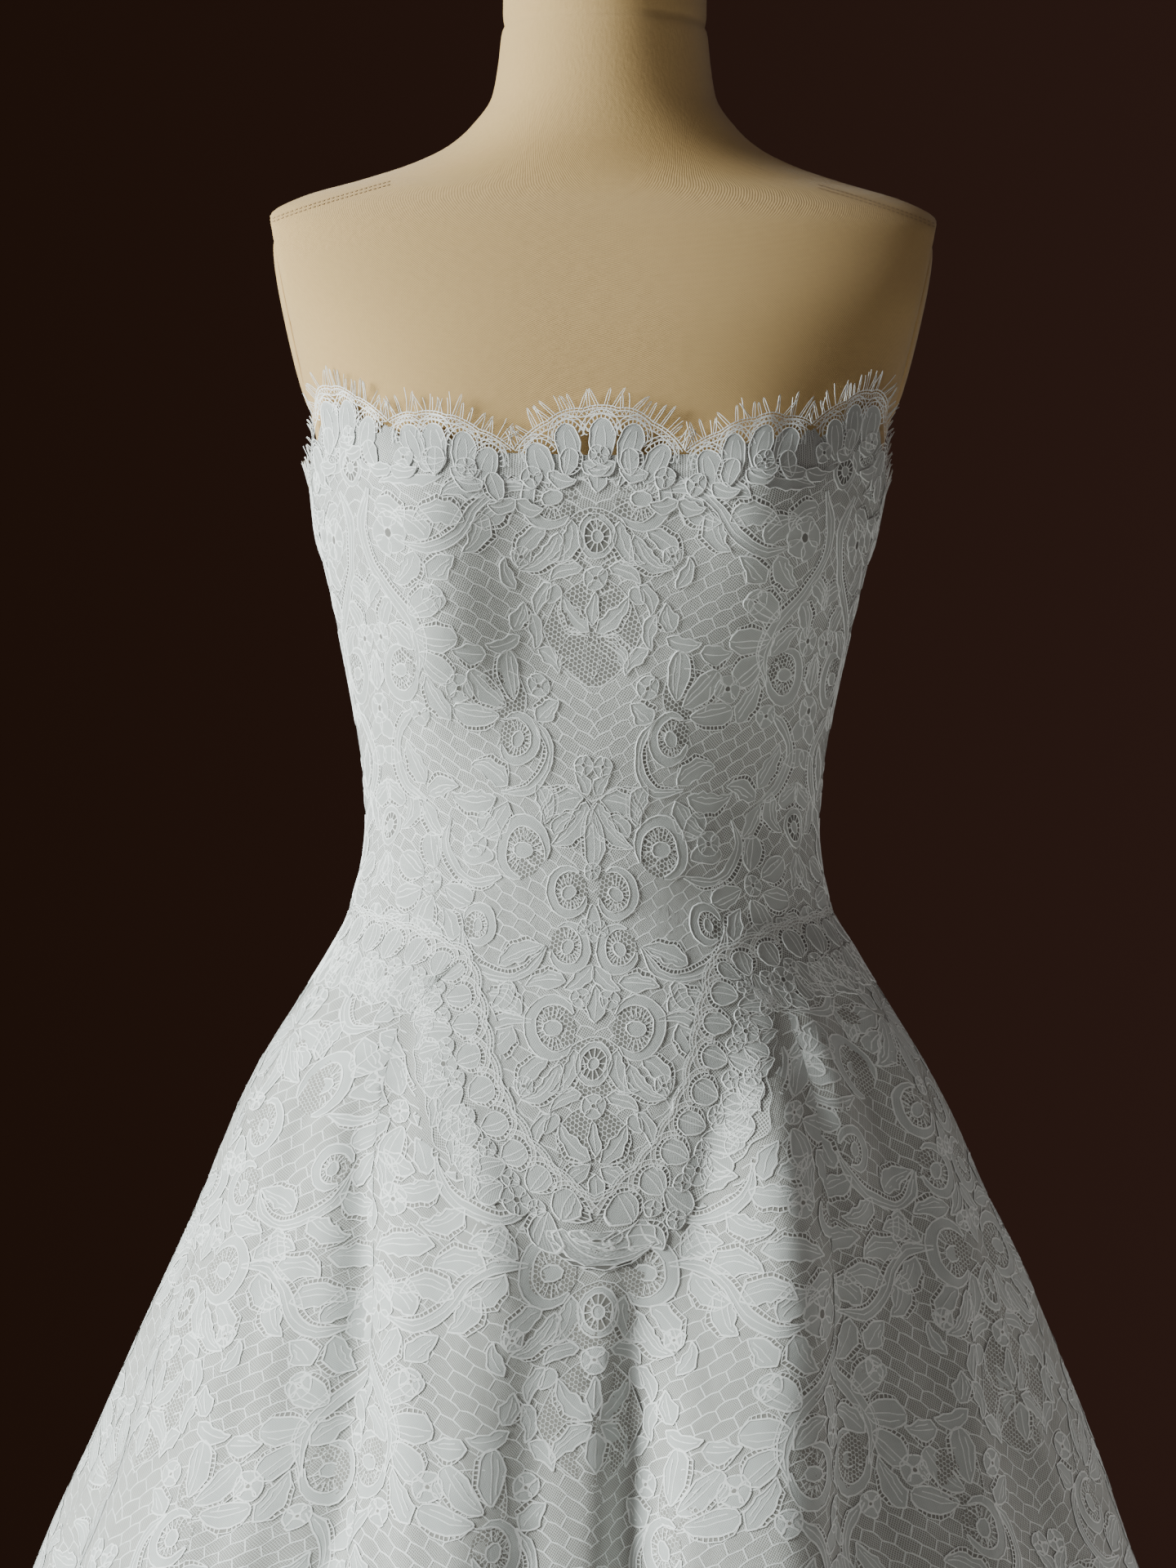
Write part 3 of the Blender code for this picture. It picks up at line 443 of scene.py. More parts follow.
shape = {"hem": 0.015, "formEase": 0.003, "cupDepth": 0.0125, "cupApart": 0.1, "cupWide": 0.04, "cupZ": 1.224,
         "cupTall": 0.042, "foldReference": 0.72, "foldGrowth": 2.65, "creaseFade": 0.05, "stanceBack": 0.1,
         "stanceFade": 0.06, "seamShare": 0.004}
degreesInRadian = 57.3
# the fuller and the hollower places of the front: x, z, half width, half height, depth inwards
fullness = [(-0.088, 1.158, 0.031, 0.046, -0.0125), (-0.036, 1.156, 0.028, 0.048, 0.006),
            (0.09, 1.172, 0.034, 0.04, -0.0065), (-0.002, 1.15, 0.03, 0.052, 0.004),
            (-0.052, 0.835, 0.045, 0.05, -0.0045), (0.03, 0.835, 0.035, 0.05, 0.0035)]
# how the worn dress stands a little aside and wider or closer than its cut: z, aside, wider
stance = np.array([
    (0.0, 0.0, 1.0), (0.5, -0.002, 0.994), (0.66, -0.003, 0.991), (0.713, -0.0015, 0.985), (0.768, -0.0005, 0.983),
    (0.823, 0.0003, 0.987), (0.877, -0.0009, 0.995), (0.932, -0.0016, 1.006), (0.987, -0.002, 1.008),
    (1.014, -0.0038, 1.014), (1.0415, -0.0034, 0.998), (1.12, -0.0034, 0.996), (1.206, -0.003, 1.0),
    (1.25, -0.0016, 1.0), (1.33, 0.0, 1.0), (1.54, 0.0, 1.0)])


def smoothAt(places, values, at):
    # a cubic through the rows that never swings past them
    at = np.asarray(at, float)
    widths, slopes = np.diff(places), np.diff(values) / np.diff(places)
    product, total = slopes[:-1] * slopes[1:], slopes[:-1] + slopes[1:]
    inner = np.where(product > 0, 2 * product / np.where(total == 0, 1, total), 0)
    lean = np.concatenate([slopes[:1], inner, slopes[-1:]])
    k = np.clip(np.searchsorted(places, at, side="right") - 1, 0, len(places) - 2)
    t = np.clip((at - places[k]) / widths[k], 0, 1)
    return ((2 * t ** 3 - 3 * t ** 2 + 1) * values[k] + (3 * t ** 2 - 2 * t ** 3) * values[k + 1]
            + ((t ** 3 - 2 * t ** 2 + t) * lean[k] + (t ** 3 - t ** 2) * lean[k + 1]) * widths[k])


def wrapped(angle):
    return (np.asarray(angle, float) + 180) % 360 - 180


def tableAt(table, column, angle):
    return smoothAt(table[:, 0], table[:, column], np.abs(wrapped(angle)))


def rowsAt(rows, z, columns=(1, 2, 3, 4)):
    return [smoothAt(rows[:, 0], rows[:, k], z) for k in columns]


def neckEdge(angle):
    # round arches between pointed notches
    angle = np.abs(wrapped(angle))
    height = np.full(angle.shape, neckScallops[-1][1])
    for (a0, z0, peak), (a1, z1, _) in zip(neckScallops, neckScallops[1:]):
        share = np.clip((angle - a0) / (a1 - a0), 0, 1)
        low, high, rise = (z1, z0, 1 - share) if peak else (z0, z1, share)
        inside = (angle >= a0) & (angle <= a1)
        height = np.where(inside, low + (high - low) * np.sin(math.pi / 2 * rise), height)
    return height


def sectionPoint(rows, angle, z):
    width, front, back, square = rowsAt(rows, z)
    s, c = np.sin(np.radians(angle)), np.cos(np.radians(angle))
    depth = np.where(c > 0, front, back)
    x = width * np.sign(s) * np.abs(s) ** (2 / square)
    y = -depth * np.sign(c) * np.abs(c) ** (2 / square)
    across, up = (np.abs(x) - shape["cupApart"]) / shape["cupWide"], (z - shape["cupZ"]) / shape["cupTall"]
    shaped = y - shape["cupDepth"] * np.exp(-across * across - up * up)
    for middleX, middleZ, wide, tall, deep in fullness:
        shaped = shaped + deep * np.exp(-((x - middleX) / wide) ** 2 - ((z - middleZ) / tall) ** 2)
    y = np.where(y <= 0, shaped, y)
    aside, wider = rowsAt(stance, z, (1, 2))
    x = x * wider + aside * np.clip((shape["stanceBack"] - y) / shape["stanceFade"], 0, 1)
    return np.stack([x, y, z + 0 * x], -1)


def foldGrowth(start, z):
    t = np.clip((start - z) / (start - shape["foldReference"]), 0, 1)
    below = 1 + shape["foldGrowth"] * (shape["foldReference"] - z)
    return np.where(z < shape["foldReference"], below, t * t * (3 - 2 * t))


def foldAngleOf(body, z):
    body = wrapped(body)
    moved = smoothAt(foldHang[:, 0], foldHang[:, 1], z)
    return np.where(np.abs(body) < 90, body * (1 - moved * (1 - (body / 90) ** 2)), body)


def bodyAngleOf(angle, z):
    # the other way round, by a few steps of Newton's method
    turns = np.asarray(angle, float) - wrapped(angle)
    wanted = wrapped(angle)
    moved = smoothAt(foldHang[:, 0], foldHang[:, 1], z)
    body = wanted / (1 - moved * 0.9)
    for _ in range(7):
        value = body * (1 - moved) + moved * body ** 3 / 8100 - wanted
        body = np.clip(body - value / (1 - moved + 3 * moved * body ** 2 / 8100), -90, 90)
    return turns + np.where(np.abs(wanted) < 90, body, wanted)


# soft creases: fold angle, middle z, half width in degrees, half height, depth, lean in degrees
# for each 0.1 m up. A plus stands out and a minus goes in.
skirtCreases = [
    (17, 0.862, 6, 0.06, 0.0085, 0), (-25, 0.78, 3.4, 0.14, -0.0085, -4),
    (-40, 0.64, 3.5, 0.36, -0.0055, 0), (-31, 0.64, 2.8, 0.36, 0.006, 0), (-22.5, 0.64, 3.6, 0.36, -0.008, 0),
    (-8.5, 0.64, 3.4, 0.36, 0.0105, 0), (-1.5, 0.64, 2.4, 0.36, -0.0066, 0), (3.5, 0.64, 1.8, 0.36, -0.0036, 0),
    (9.5, 0.64, 3.2, 0.36, -0.008, 0), (19, 0.64, 4.2, 0.36, 0.0075, 0), (29.5, 0.64, 3.4, 0.36, 0.011, 0),
    (41, 0.64, 5.0, 0.36, -0.0145, 0), (57, 0.64, 6.0, 0.36, 0.0045, 0),
    (-64, 0.84, 3.2, 0.16, 0.004, 8), (64, 0.66, 2.8, 0.24, 0.0042, -5),
    (80, 0.82, 2.6, 0.16, -0.0036, 6), (-82, 0.6, 2.8, 0.26, 0.004, 5), (-96, 0.78, 2.6, 0.2, 0.0044, 0),
    (-110, 0.58, 2.4, 0.24, -0.004, 7), (-122, 0.84, 2.2, 0.14, 0.0036, -6), (-133, 0.56, 2.4, 0.22, 0.0042, 4),
    (-145, 0.74, 2.2, 0.18, -0.0038, 0), (-156, 0.5, 2.4, 0.26, 0.0042, -5), (-166, 0.8, 2.0, 0.16, -0.0034, 4),
    (-175, 0.6, 2.2, 0.24, 0.004, 0), (96, 0.62, 2.6, 0.24, 0.0042, -6), (108, 0.84, 2.4, 0.16, -0.004, 4),
    (120, 0.54, 2.4, 0.26, 0.0044, 0), (132, 0.76, 2.2, 0.18, 0.0036, -5), (144, 0.58, 2.4, 0.24, -0.004, 5),
    (155, 0.82, 2.2, 0.14, 0.0034, 0), (166, 0.56, 2.4, 0.26, 0.004, -4), (176, 0.74, 2.0, 0.18, -0.0034, 3),
    (-60, 0.36, 3.0, 0.26, -0.005, 6), (-33, 0.3, 2.2, 0.24, 0.0052, -4), (-12, 0.26, 2.0, 0.24, -0.005, 3),
    (6, 0.24, 1.8, 0.22, 0.005, 0), (17, 0.3, 1.8, 0.24, -0.0048, 4), (37, 0.28, 2.4, 0.24, -0.0052, -5),
    (60, 0.32, 2.8, 0.26, 0.0054, 4), (84, 0.28, 3.0, 0.24, -0.005, 0), (111, 0.26, 2.6, 0.22, 0.0052, 5),
    (135, 0.3, 2.4, 0.24, -0.0054, 0), (158, 0.26, 2.4, 0.22, 0.005, -4), (-86, 0.3, 2.8, 0.24, -0.0052, 4),
    (-112, 0.28, 2.6, 0.24, 0.0052, -5), (-136, 0.26, 2.4, 0.22, -0.005, 3), (-160, 0.3, 2.4, 0.24, 0.0052, 0)]
# the same for the bodice, with body angles: drag lines at the waist and a little looseness between the seams.
# Here the lean is the rise for each degree, in units of 15 mm.
bodiceCreases = [
    (38, 1.045, 16, 0.009, -0.0011, 0.1), (44, 1.024, 17, 0.008, 0.0011, 0.14),
    (-40, 1.048, 15, 0.009, -0.0012, -0.1),
    (-47, 1.028, 18, 0.008, 0.0011, -0.12), (4, 1.052, 14, 0.01, -0.0007, 0), (72, 1.06, 14, 0.01, -0.0012, 0.12),
    (-74, 1.062, 14, 0.01, -0.0012, -0.12), (100, 1.05, 16, 0.009, -0.0013, 0), (-102, 1.052, 16, 0.009, -0.0013, 0),
    (126, 1.068, 15, 0.01, 0.0012, -0.1), (-128, 1.066, 15, 0.01, 0.0012, 0.1), (154, 1.045, 14, 0.01, -0.0012, 0),
    (-155, 1.047, 14, 0.01, -0.0012, 0), (52, 1.17, 9, 0.035, -0.001, 0), (-53, 1.165, 9, 0.035, -0.001, 0),
    (20, 1.14, 8, 0.03, 0.0008, 0), (-19, 1.15, 8, 0.03, 0.0008, 0), (84, 1.13, 9, 0.04, -0.001, 0.06),
    (-86, 1.14, 9, 0.04, -0.001, -0.06), (112, 1.12, 10, 0.035, 0.001, 0), (-113, 1.13, 10, 0.035, 0.001, 0),
    (140, 1.1, 9, 0.03, -0.0009, 0), (-141, 1.11, 9, 0.03, -0.0009, 0), (10, 0.985, 10, 0.022, 0.0009, 0),
    (-12, 0.97, 10, 0.022, -0.0008, 0)]


def creaseReach(angle, z):
    total = np.zeros(np.broadcast(angle, z).shape)
    for middle, height, wide, tall, depth, lean in skirtCreases:
        away = wrapped(angle - middle - lean * (z - height) * 10)
        total = total + depth * np.exp(-(away / wide) ** 2 - ((z - height) / tall) ** 2)
    return total


def bodiceReach(angle, z):
    total = np.zeros(np.broadcast(angle, z).shape)
    for middle, height, wide, tall, depth, lean in bodiceCreases:
        away = wrapped(angle - middle)
        rise = z - height - lean * away * 0.0015 * 10
        total = total + depth * np.exp(-(away / wide) ** 2 - (rise / tall) ** 2)
    return total


def foldReach(body, z):
    angle = foldAngleOf(body, z)
    k = np.clip(np.searchsorted(folds[:, 0], angle, side="right") - 1, 0, len(folds) - 2)
    t = (angle - folds[k, 0]) / (folds[k + 1, 0] - folds[k, 0])
    blend = (1 - np.cos(math.pi * t)) / 2
    first = folds[k, 1] * foldGrowth(folds[k, 2], z)
    second = folds[k + 1, 1] * foldGrowth(folds[k + 1, 2], z)
    fade = np.clip((tableAt(waist, 2, body) + 0.01 - z) / shape["creaseFade"], 0, 1)
    return (first * (1 - blend) + second * blend + creaseReach(angle, z) * fade
            + bodiceReach(body, z) * (1 - fade))


def dressAt(body, z, share=1.0, inset=0.0):
    point = sectionPoint(dressRows, body, z)
    turn = np.radians(body)
    outwards = np.stack([np.sin(turn), -np.cos(turn), 0 * turn], -1)
    reach = foldReach(body, z) * share - inset
    return point + outwards * np.asarray(reach)[..., None]


def skirtAt(angle, z):
    return dressAt(bodyAngleOf(angle, z), z)


def skirtTop(angle):
    z = tableAt(waist, 2, angle)
    for _ in range(12):
        z = tableAt(waist, 2, bodyAngleOf(angle, z))
    return z


print("shape ready")


# grids of cloth, and flat coordinates on them

def clothGrid(place, angles, low, high, rows, lift):
    # columns at even angles and rows from the low edge to the high one, lifted off the dress's inner face
    z = low + (high - low) * np.linspace(0, 1, rows)[:, None]
    a = np.broadcast_to(angles, z.shape)
    points = place(a, z)
    normals = unitOf(np.cross(np.gradient(points, axis=1), np.gradient(points, axis=0)))
    points = points + normals * (np.zeros(z.shape) + lift)[..., None]
    return {"angles": angles, "low": low, "high": high, "z": z, "points": points, "normals": normals}


def openSeams(points):
    # the side edges drawn in by a hair, so that neighbouring pieces don't touch
    points = points.copy()
    for edge, inner in ((0, 1), (-1, -2)):
        points[:, edge] += (points[:, inner] - points[:, edge]) * shape["seamShare"]
    return points


def onGrid(grid, angle, z, lift):
    # places on the grid's own facets, so that what is sewn on follows the cloth exactly
    angles, rows = grid["angles"], len(grid["z"])
    column = np.clip((angle - angles[0]) / (angles[1] - angles[0]), 0, len(angles) - 1.001)
    j = column.astype(int)
    g = column - j
    low = grid["low"][j] * (1 - g) + grid["low"][j + 1] * g
    high = grid["high"][j] * (1 - g) + grid["high"][j + 1] * g
    row = np.clip((z - low) / (high - low), 0, 1) * (rows - 1.001)
    i = row.astype(int)
    f, g = (row - i)[:, None], g[:, None]

    def at(field):
        return ((field[i, j] * (1 - g) + field[i, j + 1] * g) * (1 - f)
                + (field[i + 1, j] * (1 - g) + field[i + 1, j + 1] * g) * f)

    return at(grid["points"]) + at(grid["normals"]) * np.asarray(lift)[..., None]


def flatCloth(place, angles, heights, middle, easing=None):
    # for each height, the angle that lies a given way round from the middle
    a, z = np.meshgrid(angles, heights)
    run = runOf(place(a, z))
    run = run - np.array([np.interp(middle, angles, row) for row in run])[:, None]
    if easing is not None:
        run = run * easing(heights)[:, None]
    reach = np.abs(run).max()
    across = np.linspace(-reach, reach, int(reach * 2 / 0.003))
    table = np.array([np.interp(across, row, angles, left=np.nan, right=np.nan) for row in run])
    up = runOf(place(np.full(len(heights), float(middle)), heights))
    return {"heights": heights, "across": across, "table": table, "up": up}


def angleOn(cloth, u, z):
    heights, across, table = cloth["heights"], cloth["across"], cloth["table"]
    row = np.clip((z - heights[0]) / (heights[1] - heights[0]), 0, len(heights) - 1.001)
    column = np.clip((u - across[0]) / (across[1] - across[0]), 0, len(across) - 1.001)
    i, j = row.astype(int), column.astype(int)
    f, g = row - i, column - j
    return ((table[i, j] * (1 - g) + table[i, j + 1] * g) * (1 - f)
            + (table[i + 1, j] * (1 - g) + table[i + 1, j + 1] * g) * f)


# the lace repeat, drawn flat in millimetres on half of its width, from its middle line outwards

lace = {"halfWidth": 133.3, "height": 280.0, "cordWide": 0.84, "cordHigh": 0.72, "fineWide": 0.56, "holeWide": 2.5,
        "rungsApart": 2.2, "bricksUp": 34, "bricksAlong": 13, "brickTurn": 33, "brickWave": 0.95, "wander": 0.32,
        "stir": 1.3, "seed": 11, "leastGap": 6.3, "fillWide": 1.45, "fillMost": 11, "fillBend": 16,
        "fillReach": 12, "bloomMost": 8.5}
# how high the middle of each kind of work lies above the ground
layers = {"brick": 0.12, "net": 0.18, "clothLow": 0.26, "clothHigh": 0.4, "rib": 0.48, "cordFoot": 0.1}
motifs = [
    # down the middle line
    ("net", 0, 238, 90, 17, 20), ("wheel", 0, 240, 0, 9.5, 12, 12), ("net", 0, 190, 90, 30, 27),
    ("leaf", 2, 190, 42, 25, 9, 16), ("leaf", 2, 187, -36, 25, 9.5, -18), ("leaf", 0, 193, 90, 18, 6.5, 0),
    ("leaf", 0, 184, -90, 19, 9, 0), ("bloom", 0, 218, 0, 6, 4), ("field", 0, 142, 0, 20, 18),
    ("bloom", 6, 118, 45, 5.2, 4), ("net", 14, 98, 20, 17, 9), ("petal", 0, 96, -90, 32, 12, 1),
    ("leaf", 3, 99, -62, 34, 11, 26), ("leaf", 5, 101, -18, 30, 12, -30), ("leaf", 2, 103, 60, 15, 7, -20),
    ("scroll", 13, 50, 120, 11, -0.8, 5), ("bloom", 0, 62, 0, 4.6, 5), ("petal", 0, 44, -90, 20, 8, 0),
    ("scroll", 14, 20, 60, 10.5, 0.8, 5), ("bloom", 4, 31, 0, 4.4, 4), ("leaf", 1, 12, -54, 20, 8, 14),
    ("leaf", 0, 262, 90, 19, 9, 0), ("bloom", 7, 274, 20, 5, 4),
    # the upper flower and its garland
    ("scroll", 22, 258, 150, 13, -0.8, 6.5), ("leaf", 12, 247, -76, 28, 8.5, 48), ("leaf", 19, 240, -58, 30, 9, 40),
    ("leaf", 25, 242, -40, 26, 9, -34),
    ("band", [(33, 262), (47, 263), (60, 254), (70, 240), (84, 233), (99, 236)], 6.5, 18, 3),
    ("leaf", 38, 266, 30, 24, 11, -30), ("leaf", 52, 261, 10, 27, 12, -36), ("leaf", 66, 247, 14, 28, 12, -34),
    ("leaf", 84, 237, 42, 26, 11, -38), ("leaf", 44, 259, -48, 24, 11, 38), ("leaf", 58, 251, -78, 24, 11, 40),
    ("leaf", 92, 231, -58, 24, 11, 34), ("bloom", 107, 240, 20, 11, 5),
    # the arch about the net window
    ("leaf", 7, 223, -14, 19, 7.4, -30), ("leaf", 23, 214, -56, 19, 7.4, -24), ("leaf", 33, 198, -104, 19, 7.2, 22),
    ("leaf", 30, 180, -142, 19, 7.4, 26), ("petal", 25, 204, 128, 11, 7, 0),
    ("bloom", 30, 160, 10, 6, 4), ("field", 62, 206, -32, 26, 19), ("bloom", 38, 228, 0, 5, 4),
    ("bloom", 84, 207, 30, 6, 4),
    ("leaf", 42, 212, 64, 17, 7, 30), ("leaf", 40, 186, -20, 20, 8, 30),
    # the side spray
    ("band", [(120, 264), (128, 246), (124, 226), (112, 210), (100, 196), (94, 180), (98, 164)], 7.5, 22, -3),
    ("scroll", 110, 168, 178, 12, 0.8, 6), ("petal", 100, 198, 150, 22, 14, 1), ("petal", 96, 188, 186, 23, 14, 1),
    ("petal", 94, 178, 222, 22, 13, 1), ("leaf", 119, 216, -28, 22, 10, -30), ("leaf", 113, 206, -52, 22, 10, -28),
    ("bloom", 125, 186, 0, 7.5, 5), ("leaf", 116, 256, 200, 24, 10, 30), ("wheel", 133.3, 276, 0, 9, 10, 12),
    # the bell flowers and the middle leaves
    ("net", 51, 156, 50, 16, 14), ("petal", 49, 149, 48, 28, 12, 1), ("petal", 45, 152, 86, 27, 12, 1),
    ("petal", 53, 144, 12, 26, 12, 1), ("scroll", 44, 132, 60, 11, 0.8, 5.5),
    ("band", [(34, 142), (26, 128), (28, 113), (38, 104), (54, 104)], 5.6, 16, 3),
    ("leaf", 33, 107, -118, 23, 10, 30), ("leaf", 50, 107, 40, 26, 11, -26), ("leaf", 57, 101, -6, 29, 12, 28),
    ("leaf", 50, 98, -54, 25, 11, 26), ("field", 84, 128, 30, 25, 17), ("bloom", 74, 160, 0, 7, 4),
    ("bloom", 100, 146, 15, 6, 4), ("band", [(104, 148), (116, 138), (122, 122), (116, 106), (102, 98)], 6.5, 17, 3),
    ("petal", 119, 120, 12, 17, 10, 0), ("petal", 121, 132, 38, 16, 10, 0), ("leaf", 112, 104, -78, 25, 10.5, 30),
    ("leaf", 104, 98, -118, 23, 10, -28), ("leaf", 100, 101, 150, 22, 10, 30), ("bloom", 133.3, 148, 0, 8, 4),
    # the low sprays
    ("scroll", 40, 72, 200, 14, -0.8, 6.5), ("leaf", 22, 80, 128, 17, 8, 26), ("petal", 54, 78, 50, 20, 11, 0),
    ("petal", 57, 68, 8, 20, 11, 0), ("band", [(52, 58), (66, 55), (80, 62), (88, 76), (86, 90)], 5.6, 16, -3),
    ("bloom", 69, 76, 0, 6.5, 4), ("petal", 94, 62, 74, 20, 13, 1), ("petal", 101, 58, 30, 20, 13, 1),
    ("petal", 100, 50, -18, 20, 13, 1), ("petal", 92, 46, -66, 20, 13, 1), ("petal", 86, 52, 204, 19, 12, 1),
    ("bloom", 94, 54, 0, 5.5, 5), ("wheel", 133.3, 84, 0, 9, 11, 12), ("leaf", 131, 70, -100, 22, 9, -20),
    # the foot of the repeat
    ("field", 42, 36, -30, 24, 14), ("band", [(26, 20), (34, 8), (46, 3), (60, 8), (70, 18), (74, 32)], 5.6, 20, 3),
    ("scroll", 64, 32, 20, 8.5, 0.8, 5), ("leaf", 44, 2, -64, 20, 9, 28), ("leaf", 60, 8, -30, 25, 10, 30),
    ("leaf", 71, 19, -12, 26, 10.5, 32), ("leaf", 108, 36, -60, 25, 10.5, -28), ("leaf", 112, 34, -18, 23, 10, -32),
    ("leaf", 104, 34, -104, 24, 10, 28), ("scroll", 118, 8, 90, 10, -0.8, 5.4), ("bloom", 96, 12, 0, 7.5, 5),
    ("bloom", 133.3, 34, 45, 7, 4), ("leaf", 84, 26, 20, 20, 9, 20), ("field", 112, 72, 34, 14, 9)]
clothKind, cordKind, netKind, shadedHoleKind, meshKind = 0, 1, 2, 3, 4


def evenSteps(points, steps):
    # a smooth line through the points, in even steps
    points = np.array(points, float)
    ends = np.vstack([2 * points[0] - points[1], points, 2 * points[-1] - points[-2]])
    t = np.linspace(0, 1, 9)[:-1, None]
    line = np.vstack([0.5 * (2 * b + (c - a) * t + (2 * a - 5 * b + 4 * c - d) * t * t
                             + (3 * b - a - 3 * c + d) * t ** 3)
                      for a, b, c, d in zip(ends, ends[1:], ends[2:], ends[3:])] + [points[-1:]])
    run = runOf(line)
    return alongLine(np.linspace(0, run[-1], steps), run, line)


def sideways(path):
    go = unitOf(np.gradient(path, axis=0))
    return np.stack([-go[:, 1], go[:, 0]], 1)


def headingOf(turn):
    return np.array([math.cos(math.radians(turn)), math.sin(math.radians(turn))])


def leftOf(go):
    return np.array([-go[1], go[0]])


def stepsFor(work, steps):
    return max(4, int(round(steps * work["fineness"])))


def newWork(fineness, fineCords, layer=0.0, flat=False):
    return {"ribbons": [], "fineness": fineness, "fineCords": fineCords, "layer": layer, "flat": flat,
            "reserve": False}


def addRibbon(work, sides, lifts, kind):
    grid = np.stack([np.column_stack([side, np.broadcast_to(np.asarray(lift) + work["layer"], len(side))])
                     for side, lift in zip(sides, lifts)], 1)
    work["ribbons"].append((grid, kind))


def addCord(work, path, fine=False, lift=0.0, wide=None):
    path = np.array(path, float)
    if fine and not work["fineCords"]:
        return
    if fine or work["flat"]:
        side = sideways(path) * (wide or (lace["fineWide"] if fine else lace["cordWide"])) / 2
        addRibbon(work, (path + side, path - side), (layers["rib"] + lift,) * 2, cordKind)
    else:
        side = sideways(path) * lace["cordWide"] / 2
        lifts = (layers["cordFoot"] + lift, lace["cordHigh"] + lift, layers["cordFoot"] + lift)
        addRibbon(work, (path + side, path, path - side), lifts, cordKind)


def addHoles(work, edge, away, sign, reach=None):
    # a row of open holes along an edge: the lining, painted dark with its shade, between short bars, closed by a fine
    # cord
    run = runOf(edge)
    t = run / run[-1]
    reach = (reach or lace["holeWide"]) * np.sqrt(np.clip(np.sin(np.pi * t), 0, 1))
    outer = edge + away * reach[:, None]
    kind = shadedHoleKind if work["fineCords"] else netKind
    addRibbon(work, (outer, edge) if sign > 0 else (edge, outer), (layers["net"],) * 2, kind)
    if work["fineCords"]:
        count = int(run[-1] / lace["rungsApart"])
        for at in (np.arange(count - 1) + 1) * run[-1] / max(count, 1):
            ends = [alongLine(at, run, line) for line in (edge, outer)]
            if np.linalg.norm(ends[1] - ends[0]) > 0.8:
                addCord(work, ends, True, -0.14)
        addCord(work, outer, True, -0.06)


def addBlade(work, path, left, right, rib=False, holes=0):
    # cloth stitch between two cords: a leaf, a petal or a length of band
    side = sideways(path)
    first, second = path + side * np.array(left)[:, None], path - side * np.array(right)[:, None]
    low, high = layers["clothLow"], layers["clothHigh"]
    addRibbon(work, (first, path, second), (low, high, low), clothKind)
    if holes:
        edge = first if holes > 0 else second
        addHoles(work, edge[1:-1], side[1:-1] * np.sign(holes), holes)
    addCord(work, first)
    addCord(work, second)
    if rib:
        addCord(work, path[1:-1], True)
        if max(left) > 5 and len(path) > 6:
            addCord(work, (path + side * np.array(left)[:, None] * 0.5)[2:-2], True, -0.04)


def addLeaf(work, u, v, turn, length, width, bend=0, rib=True):
    # curls towards its tip, with a gently lobed edge
    steps = stepsFor(work, 5 + length / 4.5)
    t = np.linspace(0, 1, steps)
    curl = math.copysign(26, bend) if bend else 0
    heading = np.radians(turn + bend * (t[:-1] - 0.3) * 1.6 + curl * t[:-1] ** 3)
    go = np.stack([np.cos(heading), np.sin(heading)], 1) * length / (steps - 1)
    path = np.array([u, v]) + np.vstack([[0, 0], np.cumsum(go, axis=0)])
    swell = width / 2 * np.sin(np.pi * t ** 0.75) ** 0.85 + 0.02
    left = swell * (1 + 0.16 * np.sin(2 * np.pi * t * round(length / 8) + turn))
    right = swell * (1 + 0.14 * np.sin(2 * np.pi * t * round(length / 9.5) + turn + 2))
    addBlade(work, path, left, right, rib, (-1 if bend > 0 else 1) if width > 8.4 else 0)


def addPetal(work, u, v, turn, length, width, rib=0):
    steps = stepsFor(work, 9 if length > 14 else 7)
    t = (1 - np.cos(np.pi * np.linspace(0, 1, steps))) / 2
    sway = 0.06 * length * np.sin(np.pi * t)[:, None] * leftOf(headingOf(turn))
    path = np.array([u, v]) + headingOf(turn) * (t * length)[:, None] + sway * math.sin(turn * 0.13 + u)
    swell = width / 2 * np.sqrt(np.clip(1 - (2 * t ** 1.3 - 1) ** 2, 0.0006, 1))
    wave = 1 + 0.06 * np.sin(5 * np.pi * t + turn)
    addBlade(work, path, swell * wave, swell * (2 - wave), rib, (1 if turn % 2 else -1) if rib else 0)


def ringPath(u, v, rx, ry, turn=0, steps=14):
    a = np.linspace(0, 2 * math.pi, steps + 1)
    c, s = headingOf(turn)
    return np.stack([u + rx * np.cos(a) * c - ry * np.sin(a) * s,
                     v + rx * np.cos(a) * s + ry * np.sin(a) * c], 1)


def addDisc(work, ring, kind, lift):
    middle = ring.mean(0) + (ring - ring.mean(0)) * 0.03
    addRibbon(work, (middle, ring), (lift, lift), kind)


def addBloom(work, u, v, turn, radius, petals):
    for i in range(petals):
        a = turn + 360 * i / petals
        foot = np.array([u, v]) + headingOf(a) * radius * 0.22
        addPetal(work, *foot, a, radius * 0.8, 2.2 * radius * math.sin(math.pi / petals) * 0.92)
    # the eye: a disc painted with the shaded lining
    eye = ringPath(u, v, radius * 0.22, radius * 0.22, steps=stepsFor(work, 8))
    addDisc(work, eye, shadedHoleKind, layers["rib"] - 0.02)
    addCord(work, eye)


def addWheel(work, u, v, turn, rx, ry, spokes):
    steps = stepsFor(work, 16)
    outer, middle, inner, hub = (ringPath(u, v, rx * k, ry * k, turn, steps) for k in (1, 0.86, 0.72, 0.3))
    low = layers["clothLow"]
    # inside the ring, a disc painted with the shaded lining
    addDisc(work, inner, shadedHoleKind, layers["net"] + 0.02)
    addRibbon(work, (inner, middle, outer), (low, layers["clothHigh"], low), clothKind)
    addDisc(work, hub, clothKind, low)
    for line in (outer, inner, hub):
        addCord(work, line)
    starts, ends = (ringPath(u, v, rx * k, ry * k, turn, spokes)[:-1] for k in (0.3, 0.72))
    for spoke in zip(starts, ends):
        addCord(work, spoke, True)


